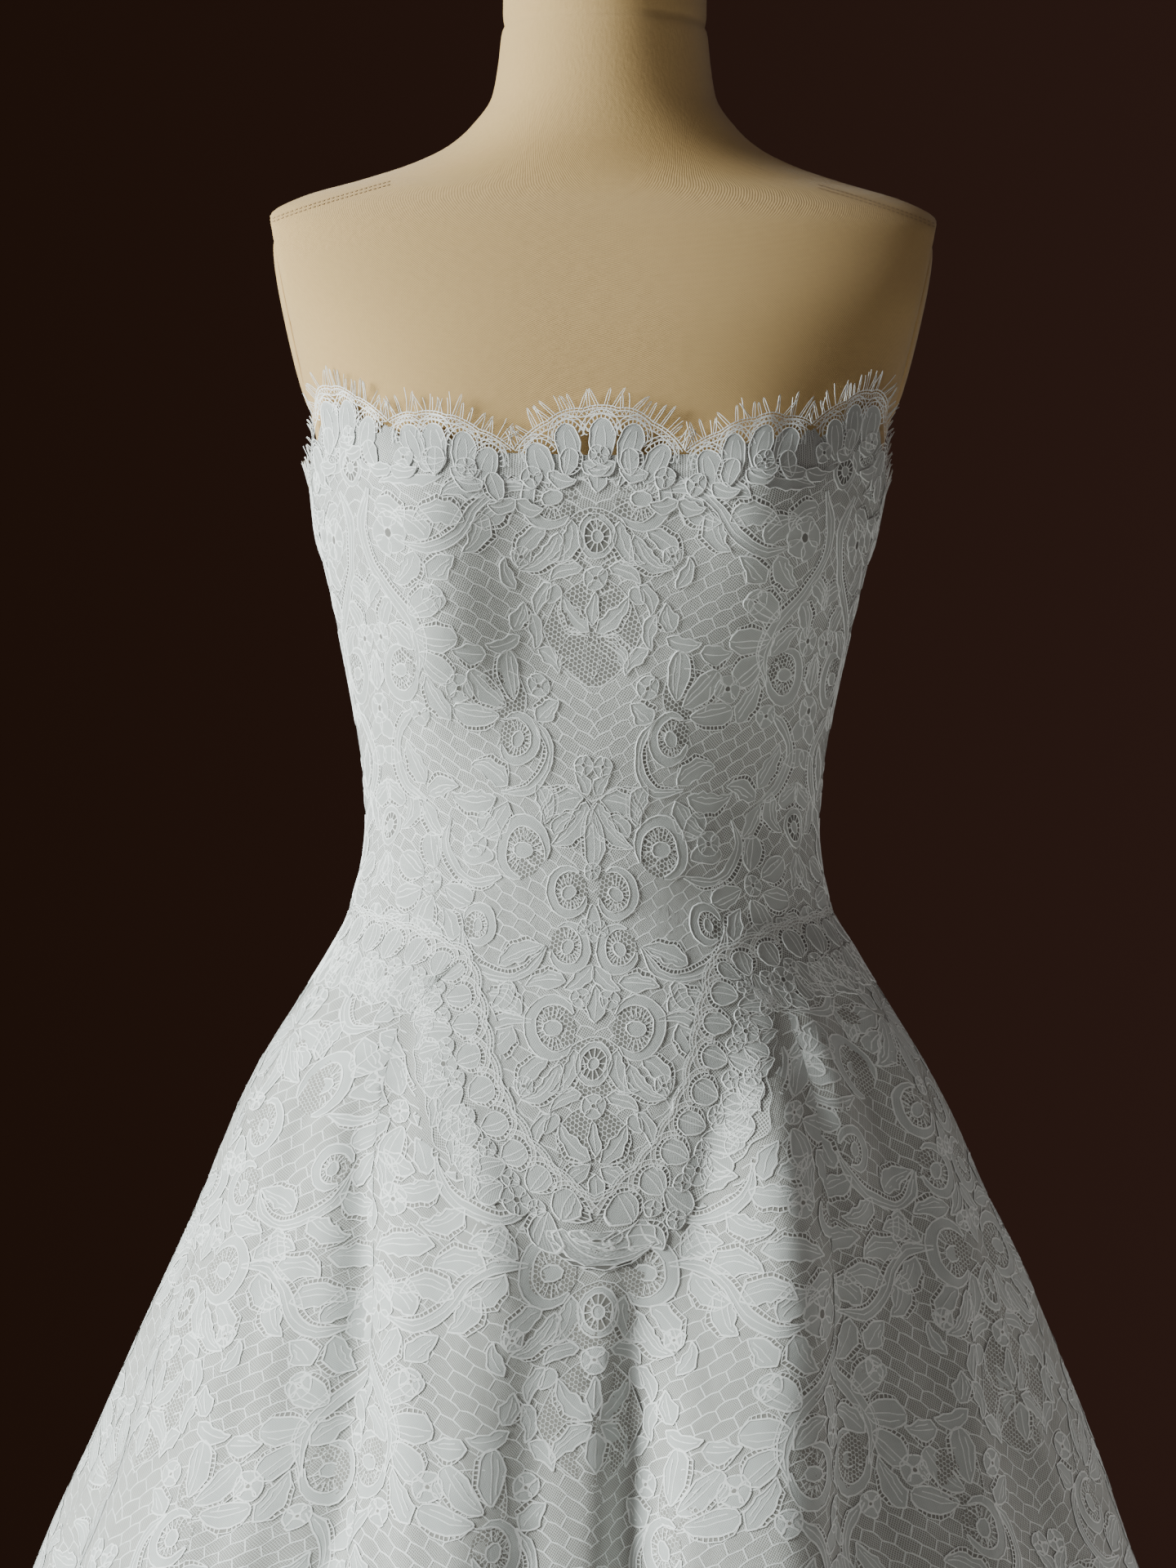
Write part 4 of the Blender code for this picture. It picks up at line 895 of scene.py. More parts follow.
def addScroll(work, u, v, turn, radius, turns, width):
    # a crescent of cloth about a small oval, with bars from one to the other over net whose holes are painted dark
    # with the lining's shade
    count = stepsFor(work, 17)
    t = np.linspace(0, 1, count)
    a = np.radians(turn) + turns * 2 * math.pi * t
    path = np.array([u, v]) + np.stack([np.cos(a), 1.18 * np.sin(a)], 1) * (radius * (1 - 0.1 * t))[:, None]
    swell = width / 2 * (0.12 + 0.88 * np.sin(np.pi * t) ** 0.55)
    addDisc(work, ringPath(u, v, radius * 0.95, radius * 1.1, 0, stepsFor(work, 12)), netKind, layers["net"])
    addBlade(work, path, swell, swell)
    core = ringPath(u, v, radius * 0.3, radius * 0.42, turn / 2, stepsFor(work, 9))
    addDisc(work, core, clothKind, layers["clothLow"] + 0.05)
    addCord(work, core)
    for place in path[1:-1]:
        toCore = np.array([u, v]) - place
        addCord(work, [place + toCore * (0.5 * width / radius), place + toCore * 0.6], True, -0.1)


def addBand(work, points, width, steps, holes=0):
    path = evenSteps(points, stepsFor(work, steps))
    t = np.linspace(0, 1, len(path))
    swell = width / 2 * np.clip(np.sin(np.pi * t) * 2.2, 0.2, 1)
    first = swell * (0.85 + 0.2 * np.cos(11 * t))
    second = swell * (0.85 + 0.2 * np.sin(9 * t + 1))
    addBlade(work, path, first, second, True, holes)


def patchOf(u, v, turn, a, b, steps, columns=3, round=2.4):
    # a rounded field in rows, each from its left end to its right end
    c, s = headingOf(turn)
    y = np.linspace(-b, b, steps)
    reach = a * np.clip(1 - np.abs(y / b) ** round, 0, 1) ** (1 / round)
    lines = [np.stack([-reach * k, y], 1) for k in np.linspace(1, -1, columns)]
    return [np.stack([u + line[:, 0] * c - line[:, 1] * s, v + line[:, 0] * s + line[:, 1] * c], 1)
            for line in lines]


def addNet(work, u, v, turn, a, b):
    # a window of open net
    if work["reserve"]:
        addField(work, u, v, turn, a, b)
        return
    lines = patchOf(u, v, turn, a, b, stepsFor(work, 8), round=1.5)
    addRibbon(work, lines, (layers["net"],) * 3, netKind)
    for line in (lines[0], lines[2]):
        addCord(work, line, True, -0.16)


def addField(work, u, v, turn, a, b):
    # room kept free of motifs, so that the bricks of the ground show
    if work["reserve"]:
        lines = patchOf(u, v, turn, a, b, 9, 7)
        addRibbon(work, lines, (0,) * 7, netKind)


def addBricks(work):
    # wavy rows of cord over the whole ground, tied together like bricks; they meet at the edges of the repeat
    wide, tall = lace["halfWidth"], lace["height"]
    c, s = headingOf(lace["brickTurn"])
    high, long = tall / lace["bricksUp"] * c, tall * s / lace["bricksAlong"]
    parts = 4 if work["fineCords"] else 2
    half = lace["fineWide"] / 2 * (1.1 if work["fineCords"] else 1.3)

    def put(x, y):
        return np.stack([x * c - y * s, x * s + y * c], -1)

    for k in range(int(-wide * s / high) - 1, int(tall * c / high) + 1):
        y = k * high
        start, end = max(y * s / c, -y * c / s), min((wide + y * s) / c, (tall - y * c) / s)
        if end - start < 3:
            continue
        step = long / parts
        xs = np.arange(math.ceil(start / step), math.floor(end / step) + 1) * step
        xs = np.unique(np.concatenate([[start], xs[(xs > start + 0.4) & (xs < end - 0.4)], [end]]))
        odd = k % 2
        line = put(xs, y + lace["brickWave"] * np.abs(np.sin(math.pi * (xs / long + odd / 2))) ** 0.8)
        side = sideways(line) * half
        addRibbon(work, (line + side, line - side), (layers["brick"],) * 2, cordKind)
        for m in range(math.ceil(start / long - (1 - odd) / 2), math.floor(end / long + 1)):
            x = (m + (1 - odd) / 2) * long
            foot, head = put(x, y + lace["brickWave"]), put(x + 0.4, y + high)
            if start < x < end and 0 < head[0] < wide and head[1] < tall + 4:
                tie, side = np.stack([foot, head]), (c * half, s * half)
                addRibbon(work, (tie - side, tie + side), (layers["brick"],) * 2, cordKind)


drawing = {"leaf": addLeaf, "petal": addPetal, "bloom": addBloom, "wheel": addWheel, "scroll": addScroll,
           "band": addBand, "net": addNet, "field": addField, "bricks": addBricks}


def onMiddle(motif):
    return len(motif) > 1 and not isinstance(motif[1], list) and motif[1] in (0, lace["halfWidth"])


def gathered(work):
    # all the ribbons as one list of points, one of quads and one of kinds
    points, quads, kinds, count = [], [], [], 0
    for grid, kind in work["ribbons"]:
        points.append(grid.reshape(-1, 3))
        quads.append(gridQuads(*grid.shape[:2]) + count)
        kinds.append(np.full(len(quads[-1]), kind))
        count += len(points[-1])
    return np.vstack(points), np.vstack(quads), np.concatenate(kinds)


def drawTile(rows, fineness, fineCords, flat=True, reserve=False):
    work = newWork(fineness, fineCords, 0.0, flat)
    work["reserve"] = reserve
    shared = []
    for motif in rows:
        before = len(work["ribbons"])
        drawing[motif[0]](work, *motif[1:])
        for grid, _ in work["ribbons"][before:]:
            shared.append(np.full((grid.shape[0] - 1) * (grid.shape[1] - 1), onMiddle(motif)))
    points, quads, kinds = gathered(work)
    # no line of the work is quite true; nothing moves across the repeat's own edges
    u, v = points[:, 0] * math.pi * 38 / lace["halfWidth"], points[:, 1] * 2 * math.pi * 36 / lace["height"]
    inside = (points[:, 0] > 0) & (points[:, 0] < lace["halfWidth"])
    points[:, 0] += inside * lace["wander"] * np.sin(u) * np.cos(v + 1)
    points[:, 1] += lace["wander"] * np.cos(u * 0.5) * np.sin(v * 0.75 + 2)
    return points, quads, kinds, np.concatenate(shared)


def fillGaps(rows):
    # leaves laid along the widest gaps that the listed motifs leave, and a few small flowers
    dice = random.Random(lace["seed"])
    wide, tall, step = lace["halfWidth"], lace["height"], 2.0
    taken = drawTile(rows, 1.0, False, True, True)[0][:, :2]
    taken = np.vstack([taken + shift for shift in ((0, -tall), (0, 0), (0, tall))])
    taken = np.vstack([taken, taken * (-1, 1), (2 * wide, 0) + taken * (-1, 1)])
    near = np.abs(taken - (wide / 2, tall / 2)) < (wide / 2 + 25, tall / 2 + 25)
    taken = taken[near.all(1)]
    u, v = np.meshgrid(np.arange(1, wide, step), np.arange(0, tall, step))
    spots = np.stack([u.ravel(), v.ravel()], 1)
    gap = np.full(len(spots), 1e9)
    for start in range(0, len(taken), 400):
        part = taken[start:start + 400]
        gap = np.minimum(gap, np.sqrt(((spots[:, None] - part[None]) ** 2).sum(-1)).min(1))
    filled = []

    def roomAt(place):
        i, j = int(round(place[1] / step)) % u.shape[0], int(round((place[0] - 1) / step))
        return gap[i * u.shape[1] + j] if 0 <= j < u.shape[1] else 0

    while gap.max() > lace["leastGap"]:
        best = int(gap.argmax())
        place, room = spots[best], gap[best]
        runs = []
        for turn in range(0, 180, 15):
            go = headingOf(turn)
            reach = [0, 0]
            for side, sign in enumerate((-1, 1)):
                while reach[side] < lace["fillReach"] and roomAt(place + go * sign * (reach[side] + 2)) > room * 0.5:
                    reach[side] += 2
            runs.append((sum(reach), turn, reach, go))
        total, turn, reach, go = max(runs, key=lambda run: run[0])
        if total < 8 and room > 6.4:
            radius = min(room - 0.6, lace["bloomMost"])
            filled.append(("bloom", *place, dice.uniform(0, 90), radius, dice.choice((4, 5))))
            line = place[None]
        else:
            start, end = place - go * (reach[0] + room * 0.45), place + go * (reach[1] + room * 0.45)
            length = float(np.linalg.norm(end - start))
            width, bend = min(room * lace["fillWide"], lace["fillMost"]), lace["fillBend"]
            filled.append(("leaf", *start, turn, length, width, dice.uniform(-bend, bend)))
            line = start + (end - start) * np.linspace(0.15, 0.85, 7)[:, None]
        for point in line:
            for shift in (-tall, 0, tall):
                for mirrored in ((point[0], point[1] + shift), (-point[0], point[1] + shift),
                                 (2 * wide - point[0], point[1] + shift)):
                    gap = np.minimum(gap, np.maximum(np.linalg.norm(spots - mirrored, axis=1) - room * 0.62, 0))
    return filled


motifs += fillGaps(motifs)
motifs.insert(0, ("bricks",))
# worked most finely for the bodice, flatter for the front of the skirt and plainly where it is seen least
raisedTile = drawTile(motifs, 1.0, True, False)
flatTile = drawTile(motifs, 0.9, True)
plainTile = drawTile(motifs, 0.5, False)
triangles = [len(tile[1]) * 2 for tile in (raisedTile, flatTile, plainTile)]
print("lace repeat drawn:", len(motifs), "motifs,", triangles, "triangles")


def usedOnly(quads, count):
    # the points that the quads use, and the quads numbered by them
    used = np.unique(quads)
    renumber = np.zeros(count, int)
    renumber[used] = np.arange(len(used))
    return used, renumber[quads]


def laceOver(cloth, grid, along, limits, tileFor, seed, extraLift=None, scale=1.0, seams=(-999, 999)):
    # repeats of the tile over a cloth: along gives the first and last repeat each way and the height of the foot
    firstU, lastU, firstV, lastV, foot = along
    dice = random.Random(seed)
    wide, tall = lace["halfWidth"] * scale / 1000, lace["height"] * scale / 1000
    allPoints, allQuads, allKinds, allCut, allPlaces, count = [], [], [], [], [], 0
    for i in range(firstU, lastU + 1):
        for j in range(firstV, lastV + 1):
            points, quads, kinds, shared = tileFor(i, j)
            mirrored = i % 2 == 1
            u, v = points[:, 0] * scale / 1000, points[:, 1] * scale / 1000
            u = (i + 1) * wide - u if mirrored else i * wide + u
            v = v + j * tall + foot
            phase = [dice.uniform(0, 6.3) for _ in range(4)]
            stir = lace["stir"] / 1000
            stirred = u + stir * (np.sin(70 * v + phase[0]) + 0.5 * np.sin(230 * v + 60 * u + phase[1])) * 0.6
            v = v + stir * (np.sin(75 * u + phase[2]) + 0.5 * np.sin(210 * u - 80 * v + phase[3])) * 0.6
            z = np.interp(v, cloth["up"], cloth["heights"], left=-9, right=9)
            angle = angleOn(cloth, stirred, z)
            keep = ~np.isnan(angle) & (z > -1) & (z < 8)
            angle = np.where(keep, angle, 0)
            keep &= limits(angle, np.clip(z, 0, 2))
            inside = (angle > seams[0]) & (angle < seams[1])
            angle = np.clip(angle, *seams)
            good = keep[quads].all(1) & inside[quads].any(1)
            if mirrored:
                good &= ~shared
                quads = quads[:, ::-1]
            quads, kinds = quads[good], kinds[good]
            used, quads = usedOnly(quads, len(points))
            if not len(used):
                continue
            lift = points[used, 2] / 1000
            if extraLift:
                lift = lift + extraLift(angle[used], z[used])
            allPoints.append(onGrid(grid, angle[used], z[used], lift))
            allQuads.append(quads + count)
            allKinds.append(kinds)
            allCut.append(np.stack([stirred[used], v[used]], 1))
            allPlaces.append(np.stack([angle[used], z[used]], 1))
            count += len(used)
    return (np.vstack(allPoints), np.vstack(allQuads), np.concatenate(allKinds), np.vstack(allCut),
            np.vstack(allPlaces))


def lacePiece(name, made, keep=None, looks=("cloth", "cord", "net", "hole", "mesh")):
    points, quads, kinds, cut = made[:4]
    if keep is not None:
        kinds = kinds[keep]
        used, quads = usedOnly(quads[keep], len(points))
        points, cut = points[used], cut[used]
    return placePiece(name, makeMesh(name, points, quads, [finish[look] for look in looks], kinds, cut))


# the bodice: seven panels, each with its lace sewn on

bodice = {"lift": 0.0018, "rows": 62, "seamTurn": 0.0002, "seamWide": 1.1, "repeatFoot": 0.97, "trimLift": 0.001,
          "trimDeep": 0.025, "trimSpare": 0.004, "trimFade": 0.006, "thickness": 0.0014, "reach": 0.13,
          "overSeam": 0.0028, "laceFoot": 0.004, "laceTop": 0.0095,
          "easeHeights": [0.8, 0.98, 1.06, 1.2, 1.32], "easing": [1.0, 1.0, 1.12, 0.95, 0.93]}
bodicePanels = [  # name, start, end
    ("bodiceCentreFront", -32, 32), ("bodiceSideFrontLeft", 32, 90), ("bodiceSideFrontRight", -90, -32),
    ("bodiceSideBackLeft", 90, 140), ("bodiceSideBackRight", -140, -90), ("bodiceBackLeft", 140, 180),
    ("bodiceBackRight", -180, -140)]


def bodiceEasing(heights):
    # the lace is drawn in over the waist and let out over the bust
    return np.interp(heights, bodice["easeHeights"], bodice["easing"])


def seamTurnAt(angle):
    # how far the cloth dips at the seams between the panels
    away = np.min([np.abs(wrapped(angle - seam)) for _, _, seam in bodicePanels], 0)
    return bodice["seamTurn"] * np.exp(-(away / bodice["seamWide"]) ** 2)


wholeTurn = np.arange(-180, 181, 2.0)
bodiceGrid = clothGrid(dressAt, wholeTurn, tableAt(waist, 2, wholeTurn) + bodice["overSeam"],
                       tableAt(bodiceTop, 1, wholeTurn), bodice["rows"], bodice["lift"] - seamTurnAt(wholeTurn))
bodiceCloth = flatCloth(dressAt, wholeTurn, np.arange(0.8, 1.33, 0.005), 0, bodiceEasing)
bodiceCloth["up"] = bodiceCloth["heights"]


def aboveTrimFoot(angle, z):
    # 0 below the neck trim's lower edge and 1 where the trim lies over the panels
    over = z - tableAt(bodiceTop, 1, angle) + bodice["trimDeep"] + bodice["trimSpare"]
    return np.clip(over / bodice["trimFade"], 0, 1)


def onBodice(angle, z):
    above = z > tableAt(waist, 1, angle) - bodice["laceFoot"]
    return above & (z < tableAt(bodiceTop, 1, angle) - bodice["laceTop"])


bodiceLace = laceOver(bodiceCloth, bodiceGrid, (-4, 3, -1, 1, bodice["repeatFoot"]), onBodice,
                      lambda i, j: raisedTile if -3 <= i <= 2 else plainTile, 3,
                      lambda angle, z: bodice["trimLift"] * aboveTrimFoot(angle, z))
laceAngle, laceHeight = bodiceLace[4][bodiceLace[1]].mean(1).T
inNeckTrim = laceHeight > tableAt(bodiceTop, 1, laceAngle) - bodice["trimDeep"]
for name, start, end in bodicePanels:
    columns = slice((start + 180) // 2, (end + 180) // 2 + 1)
    points = openSeams(bodiceGrid["points"][:, columns])
    run = runOf(points)
    middle = (start + end) / 2 / degreesInRadian * bodice["reach"]
    cut = np.stack([run - run[:, [run.shape[1] // 2]] + middle, bodiceGrid["z"][:, columns]], -1)
    panel = clothPiece(name, points, cut, "ground", bodice["thickness"])
    sewnLace = lacePiece(name + "Lace", bodiceLace, (laceAngle >= start) & (laceAngle < end) & ~inNeckTrim)
    declareCut(panel, points)
print("bodice made")

# where things lie about the waist: a grid of the dress's inner face, and a chart of the band over the seam

chart = {"turn": 206, "turnStep": 0.5, "low": 0.795, "high": 1.325, "rows": 240, "run": 1.5, "aheadTurn": 0.6,
         "upStep": 0.003, "smooth": 12}
turnWide = np.arange(-chart["turn"], chart["turn"] + chart["turnStep"], chart["turnStep"])
bodyEnds = (np.full(len(turnWide), chart[end]) for end in ("low", "high"))
bodyGrid = clothGrid(dressAt, turnWide, *bodyEnds, chart["rows"], 0)


def onBody(angle, z):
    return onGrid(bodyGrid, angle, z, 0 * z)


def bellOf(count):
    # weights for smoothing
    weights = np.exp(-np.linspace(-2.2, 2.2, count) ** 2)
    return weights / weights.sum()


waistLine = onBody(turnWide, tableAt(waist, 1, turnWide))
waistRun = runOf(waistLine) * 1000
waistRun -= np.interp(0, turnWide, waistRun)
evenRun = np.arange(*np.interp((-181, 181), turnWide, waistRun), chart["run"])
evenLine = alongLine(evenRun, waistRun, waistLine)
evenAngle, evenHeight = np.interp(evenRun, waistRun, turnWide), evenLine[:, 2]
ahead = onBody(evenAngle + chart["aheadTurn"], evenHeight) - onBody(evenAngle - chart["aheadTurn"], evenHeight)
upward = onBody(evenAngle, evenHeight + chart["upStep"]) - onBody(evenAngle, evenHeight - chart["upStep"])
downward = unitOf(np.cross(np.gradient(evenLine, axis=0), np.cross(ahead, upward)))
downward = unitOf(np.stack([np.convolve(np.pad(column, chart["smooth"], mode="edge"),
                                        bellOf(chart["smooth"] * 2 + 1), "valid") for column in downward.T], 1))


def bodyAngleAt(point):
    # which angle of the dress's section a point in space lies over
    width, front, back, square = rowsAt(dressRows, point[:, 2])
    depth = np.where(point[:, 1] < 0, front, back)
    s = np.sign(point[:, 0]) * (np.abs(point[:, 0]) / width) ** (square / 2)
    c = -np.sign(point[:, 1]) * (np.abs(point[:, 1]) / depth) ** (square / 2)
    return np.degrees(np.arctan2(s, c))


def waistToBody(s, t):
    # s runs along the upper edge from the middle of the front and t down across the band
    place = alongLine(s, evenRun, evenLine) + alongLine(s, evenRun, downward) * t[:, None] / 1000
    angle = bodyAngleAt(place)
    turns = np.interp(s, evenRun, evenAngle)
    return angle + 360 * np.round((turns - angle) / 360), place[:, 2]


# the band over the waist seam: places on the chart in millimetres, then its lift off the dress in metres, by how
# far down the band a place lies
band = {"petal": 17.5, "footRun": [0, 24, 44, 70, 120, 200], "foot": [31, 33, 43, 48, 46, 44], "netWide": 1.8,
        "top": 2.0, "skirtUnder": 3.5, "down": [0, 0.5, 0.85, 1.0], "lift": [0.002, 0.0018, 0.0014, 0.0012],
        "pointTurn": 13, "pointLift": 0.0004, "petalLift": 0.0001, "thickness": 0.0004}
waistEnd = float(np.interp(180, evenAngle, evenRun))
waistLobes = int(round(waistEnd * 2 / band["petal"]))
lobeWide = waistEnd * 2 / waistLobes


def waistFoot(s):
    # the lower edge: blunt at the point of the front, and in and out with the petals
    base = np.interp(np.abs(s), band["footRun"], band["foot"])
    return base + 1.9 * np.sin(2 * np.pi * s / lobeWide * 0.5 + 0.6) + 1.1 * np.sin(2 * np.pi * s / lobeWide * 1.27)


footRun = np.arange(-waistEnd - 20, waistEnd + 20, 2.0)
footAngle, footHeight = waistToBody(footRun, waistFoot(footRun) - band["skirtUnder"])
footTurn = np.arange(-180, 181, 1.0)
footLine = np.array([footHeight[np.abs(wrapped(footAngle - turn)) < 2.5].min() for turn in footTurn])

# the underskirt: four gores of satin

gore = {"hemReach": 0.5, "foldsAdd": 1.15, "long": 0.93, "seamGap": 0.005}
underskirt = {"lift": 0.0012, "thickness": 0.001, "columnStep": 0.013, "rowStep": 0.026, "foldShare": 0.9,
              "inset": 0.0035, "laceThick": 0.0012, "foldInset": 0.0042, "cutLonger": 1.06}
underskirtGores = [("underskirtFront", -25.3, 25.5), ("underskirtLeft", 25.5, 138), ("underskirtRight", -139, -25.3),
                   ("underskirtBack", 138, 221)]


def underskirtAt(angle, z):
    body = bodyAngleOf(angle, z)
    grown = foldGrowth(tableAt(waist, 2, body), z)
    inset = underskirt["inset"] + underskirt["laceThick"] + underskirt["foldInset"] * grown
    return dressAt(body, z, underskirt["foldShare"], inset)


def goreGrid(place, start, end, columnStep, rowStep, lift):
    # as many columns and rows as the steps call for, along the hem with its folds and up the gore
    hemLong = (end - start) / degreesInRadian * gore["hemReach"] * gore["foldsAdd"]
    columns = max(12, int(hemLong / columnStep))
    angles = np.linspace(start + gore["seamGap"], end - gore["seamGap"], columns)
    rows = int(gore["long"] / rowStep)
    return clothGrid(place, angles, np.full(columns, shape["hem"]), skirtTop(angles), rows, lift)


for name, start, end in underskirtGores:
    grid = goreGrid(underskirtAt, start, end, underskirt["columnStep"], underskirt["rowStep"], underskirt["lift"])
    run = runOf(grid["points"])
    cut = np.stack([run - run[:, -1:] / 2, grid["z"] * underskirt["cutLonger"]], -1)
    panel = clothPiece(name, grid["points"], cut, "satin", underskirt["thickness"])
    declareCut(panel, grid["points"])
print("underskirt made")

# the lace skirt: seven gores, each cut with the repeat straight down its middle

skirtGores = [  # name, start, end, worked finely where it is seen closest
    ("skirtLaceFront", -25.3, 25.5, True), ("skirtLaceSideFrontLeft", 25.5, 90, True),
    ("skirtLaceSideFrontRight", -90, -25.3, True), ("skirtLaceSideBackLeft", 90, 138, False),
    ("skirtLaceSideBackRight", -139, -90, False), ("skirtLaceBackLeft", 138, 180, False),
    ("skirtLaceBackRight", -180, -139, False)]
skirt = {"lift": 0.0011, "columnStep": 0.0078, "rowStep": 0.0115, "repeatFoot": -0.06, "laceScale": 1.14,
         "coarser": 1.35, "laceFoot": 0.004, "seamGap": 0.01, "spare": 6}

for name, start, end, closeWork in skirtGores:
    middle = (start + end) / 2
    coarser = 1.0 if closeWork else skirt["coarser"]
    grid = goreGrid(skirtAt, start, end, skirt["columnStep"] * coarser, skirt["rowStep"] * coarser, skirt["lift"])
    goreCloth = flatCloth(skirtAt, np.linspace(start - skirt["spare"], end + skirt["spare"], 180),
                          np.arange(0.0, 1.0, 0.006), middle)
    run = runOf(grid["points"])
    cut = np.stack([run - run[:, -1:] / 2, np.interp(grid["z"], goreCloth["heights"], goreCloth["up"])], -1)
    panel = clothPiece(name, grid["points"], cut, "skirtGround")
    halfTiles = int(np.nanmax(np.abs(goreCloth["across"])) / (lace["halfWidth"] * skirt["laceScale"] / 1000)) + 1

    def onGore(angle, z):
        body = bodyAngleOf(angle, z)
        return (z > shape["hem"] + skirt["laceFoot"]) & (z < np.interp(wrapped(body), footTurn, footLine))

    made = laceOver(goreCloth, grid, (-halfTiles, halfTiles - 1, 0, 3, skirt["repeatFoot"]), onGore,
                    lambda i, j: flatTile if closeWork and j >= 2 else plainTile, int(start), None,
                    skirt["laceScale"], (start + skirt["seamGap"], end - skirt["seamGap"]))
    sewnLace = lacePiece(name + "Lace", made, None, ("skirtCloth", "cord", "skirtNet", "skirtHoleShade", "mesh"))
    declareCut(panel, grid["points"])
print("skirt made")


# the scalloped trims: a way to draw on the dress along an edge

trim = {"cordsApart": 1.5, "strand": 0.3, "netWide": 3.2, "ladder": 2.4, "crownWide": 2.4, "seed": 5}


def trimMesh(work, name, toBody, liftAt, pieces):
    # puts flat drawing on the dress and shares it out between the pieces by angle
    points, quads, kinds = gathered(work)
    angle, z = toBody(points[:, 0], points[:, 1])
    placed = onGrid(bodyGrid, angle, z, liftAt(angle, z) + points[:, 2] / 1000)
    middle = wrapped(angle[quads].mean(1))
    made = (placed, quads, kinds, points[:, :2] / 1000)
    return {piece: lacePiece(piece + name, made, (middle >= start) & (middle < end))
            for piece, start, end in pieces}


def addEdging(work, path, petals, outward, netWide, lined):
    # a double cord with bars between, a band of net and a row of holes about the tip of each petal
    side = sideways(path) * outward
    apart = trim["cordsApart"]
    low = layers["clothLow"]

    def band(edges, kind, lift):
        # keeps the left side first, so that every ribbon faces outwards
        addRibbon(work, edges if outward > 0 else edges[::-1], (lift,) * len(edges), kind)

    def crossed(near, far):
        for a, b, c, d in zip(near[:-2:2], far[2::2], near[2::2], far[:-2:2]):
            addCord(work, [a, b], True, -0.15, trim["strand"])
            addCord(work, [c, d], True, -0.15, trim["strand"])

    addCord(work, path, True)
    addCord(work, path - side * apart, True)
    inner = path - side * (apart + netWide)
    if lined:
        band((path - side * (apart + 0.3), inner), meshKind, low)
    else:
        crossed(path - side * apart, inner)
    addCord(work, inner, True)
    for place, away in zip(path[::2], side[::2]):
        addCord(work, [place, place - away * apart], True, -0.1, trim["strand"])
    for u, v, turn, length, width in petals:
        addPetal(work, u, v, turn, length, width, 1 if lined else 0)
        go = headingOf(turn)
        cross = leftOf(go)
        if not lined:
            for lean in (-0.22, 0.22):
                t = np.linspace(0.12, 0.84, 6)[:, None]
                addCord(work, (u, v) + go * length * t + cross * lean * width * np.sin(np.pi * t), True)
        heart, crown = np.array([u, v]) + go * length * 0.58, []
        for swing in np.arange(-80, 81, 16):
            a = math.radians(swing)
            spoke = go * math.cos(a) * length * 0.42 + cross * math.sin(a) * width * 0.5
            unit = spoke / np.linalg.norm(spoke)
            crown.append([heart + spoke + unit * reach
                          for reach in (0, trim["ladder"], trim["ladder"] + trim["crownWide"])])
            addCord(work, crown[-1][:2], True, -0.1)
        rims = [np.array([place[k] for place in crown]) for k in range(3)]
        if lined:
            # the holes about the tip: the lining painted dark with its shade
            addRibbon(work, rims[:2], (layers["net"],) * 2, shadedHoleKind)
            addRibbon(work, rims[1:], (low, low), meshKind)
        else:
            crossed(rims[1], rims[2])
        addCord(work, rims[1], True)
        addCord(work, rims[2], True)


# the trim along the top edge, with its petals and its eyelash fringe: the lift off the dress in metres by the
# height over the bodice, how far below its edge the ground is left open, and the petals in millimetres

neck = {"runOver": 0.012, "over": [-0.0285, -0.022, -0.004, 0.004, 0.018, 0.04],
        "lift": [0.00175, 0.0028, 0.0028, 0.0025, 0.0006, 0.0001], "free": 0.02, "loose": (0.0007, 0.0005),
        "standsOff": 0.0024, "sideTurn": 88, "sideWide": 26, "petalLift": 0.0003, "thickness": 0.0005,
        "openTurns": [0, 10, 13, 18, 36, 38, 40, 42],
        "open": [0.027, 0.027, 0.013, 0.015, 0.014, 0.005, 0.005, 0.014],
        "lobe": 19.5, "lobeHigh": 1.5, "petalLong": 27, "petalShorter": 5, "petalFan": 26, "petalWide": 15.5,
        "petalNarrower": 2.5}
topRun = runOf(onBody(turnWide, tableAt(bodiceTop, 1, turnWide) + neck["runOver"])) * 1000
topRun -= np.interp(0, turnWide, topRun)


def neckToBody(s, v):
    return np.interp(s, topRun, turnWide), v / 1000


def neckLift(angle, z):
    # over the bodice, then curving in towards the form, with a little looseness
    over = z - tableAt(bodiceTop, 1, angle)
    free = np.clip(over / neck["free"], 0, 1)
    first, second = neck["loose"]
    loose = first * np.sin(np.radians(angle) * 17 + 1.3) + second * np.sin(np.radians(angle) * 41)
    standsOff = neck["standsOff"] * np.exp(-((np.abs(wrapped(angle)) - neck["sideTurn"]) / neck["sideWide"]) ** 2)
    return np.interp(over, neck["over"], neck["lift"]) + free * (loose + standsOff)


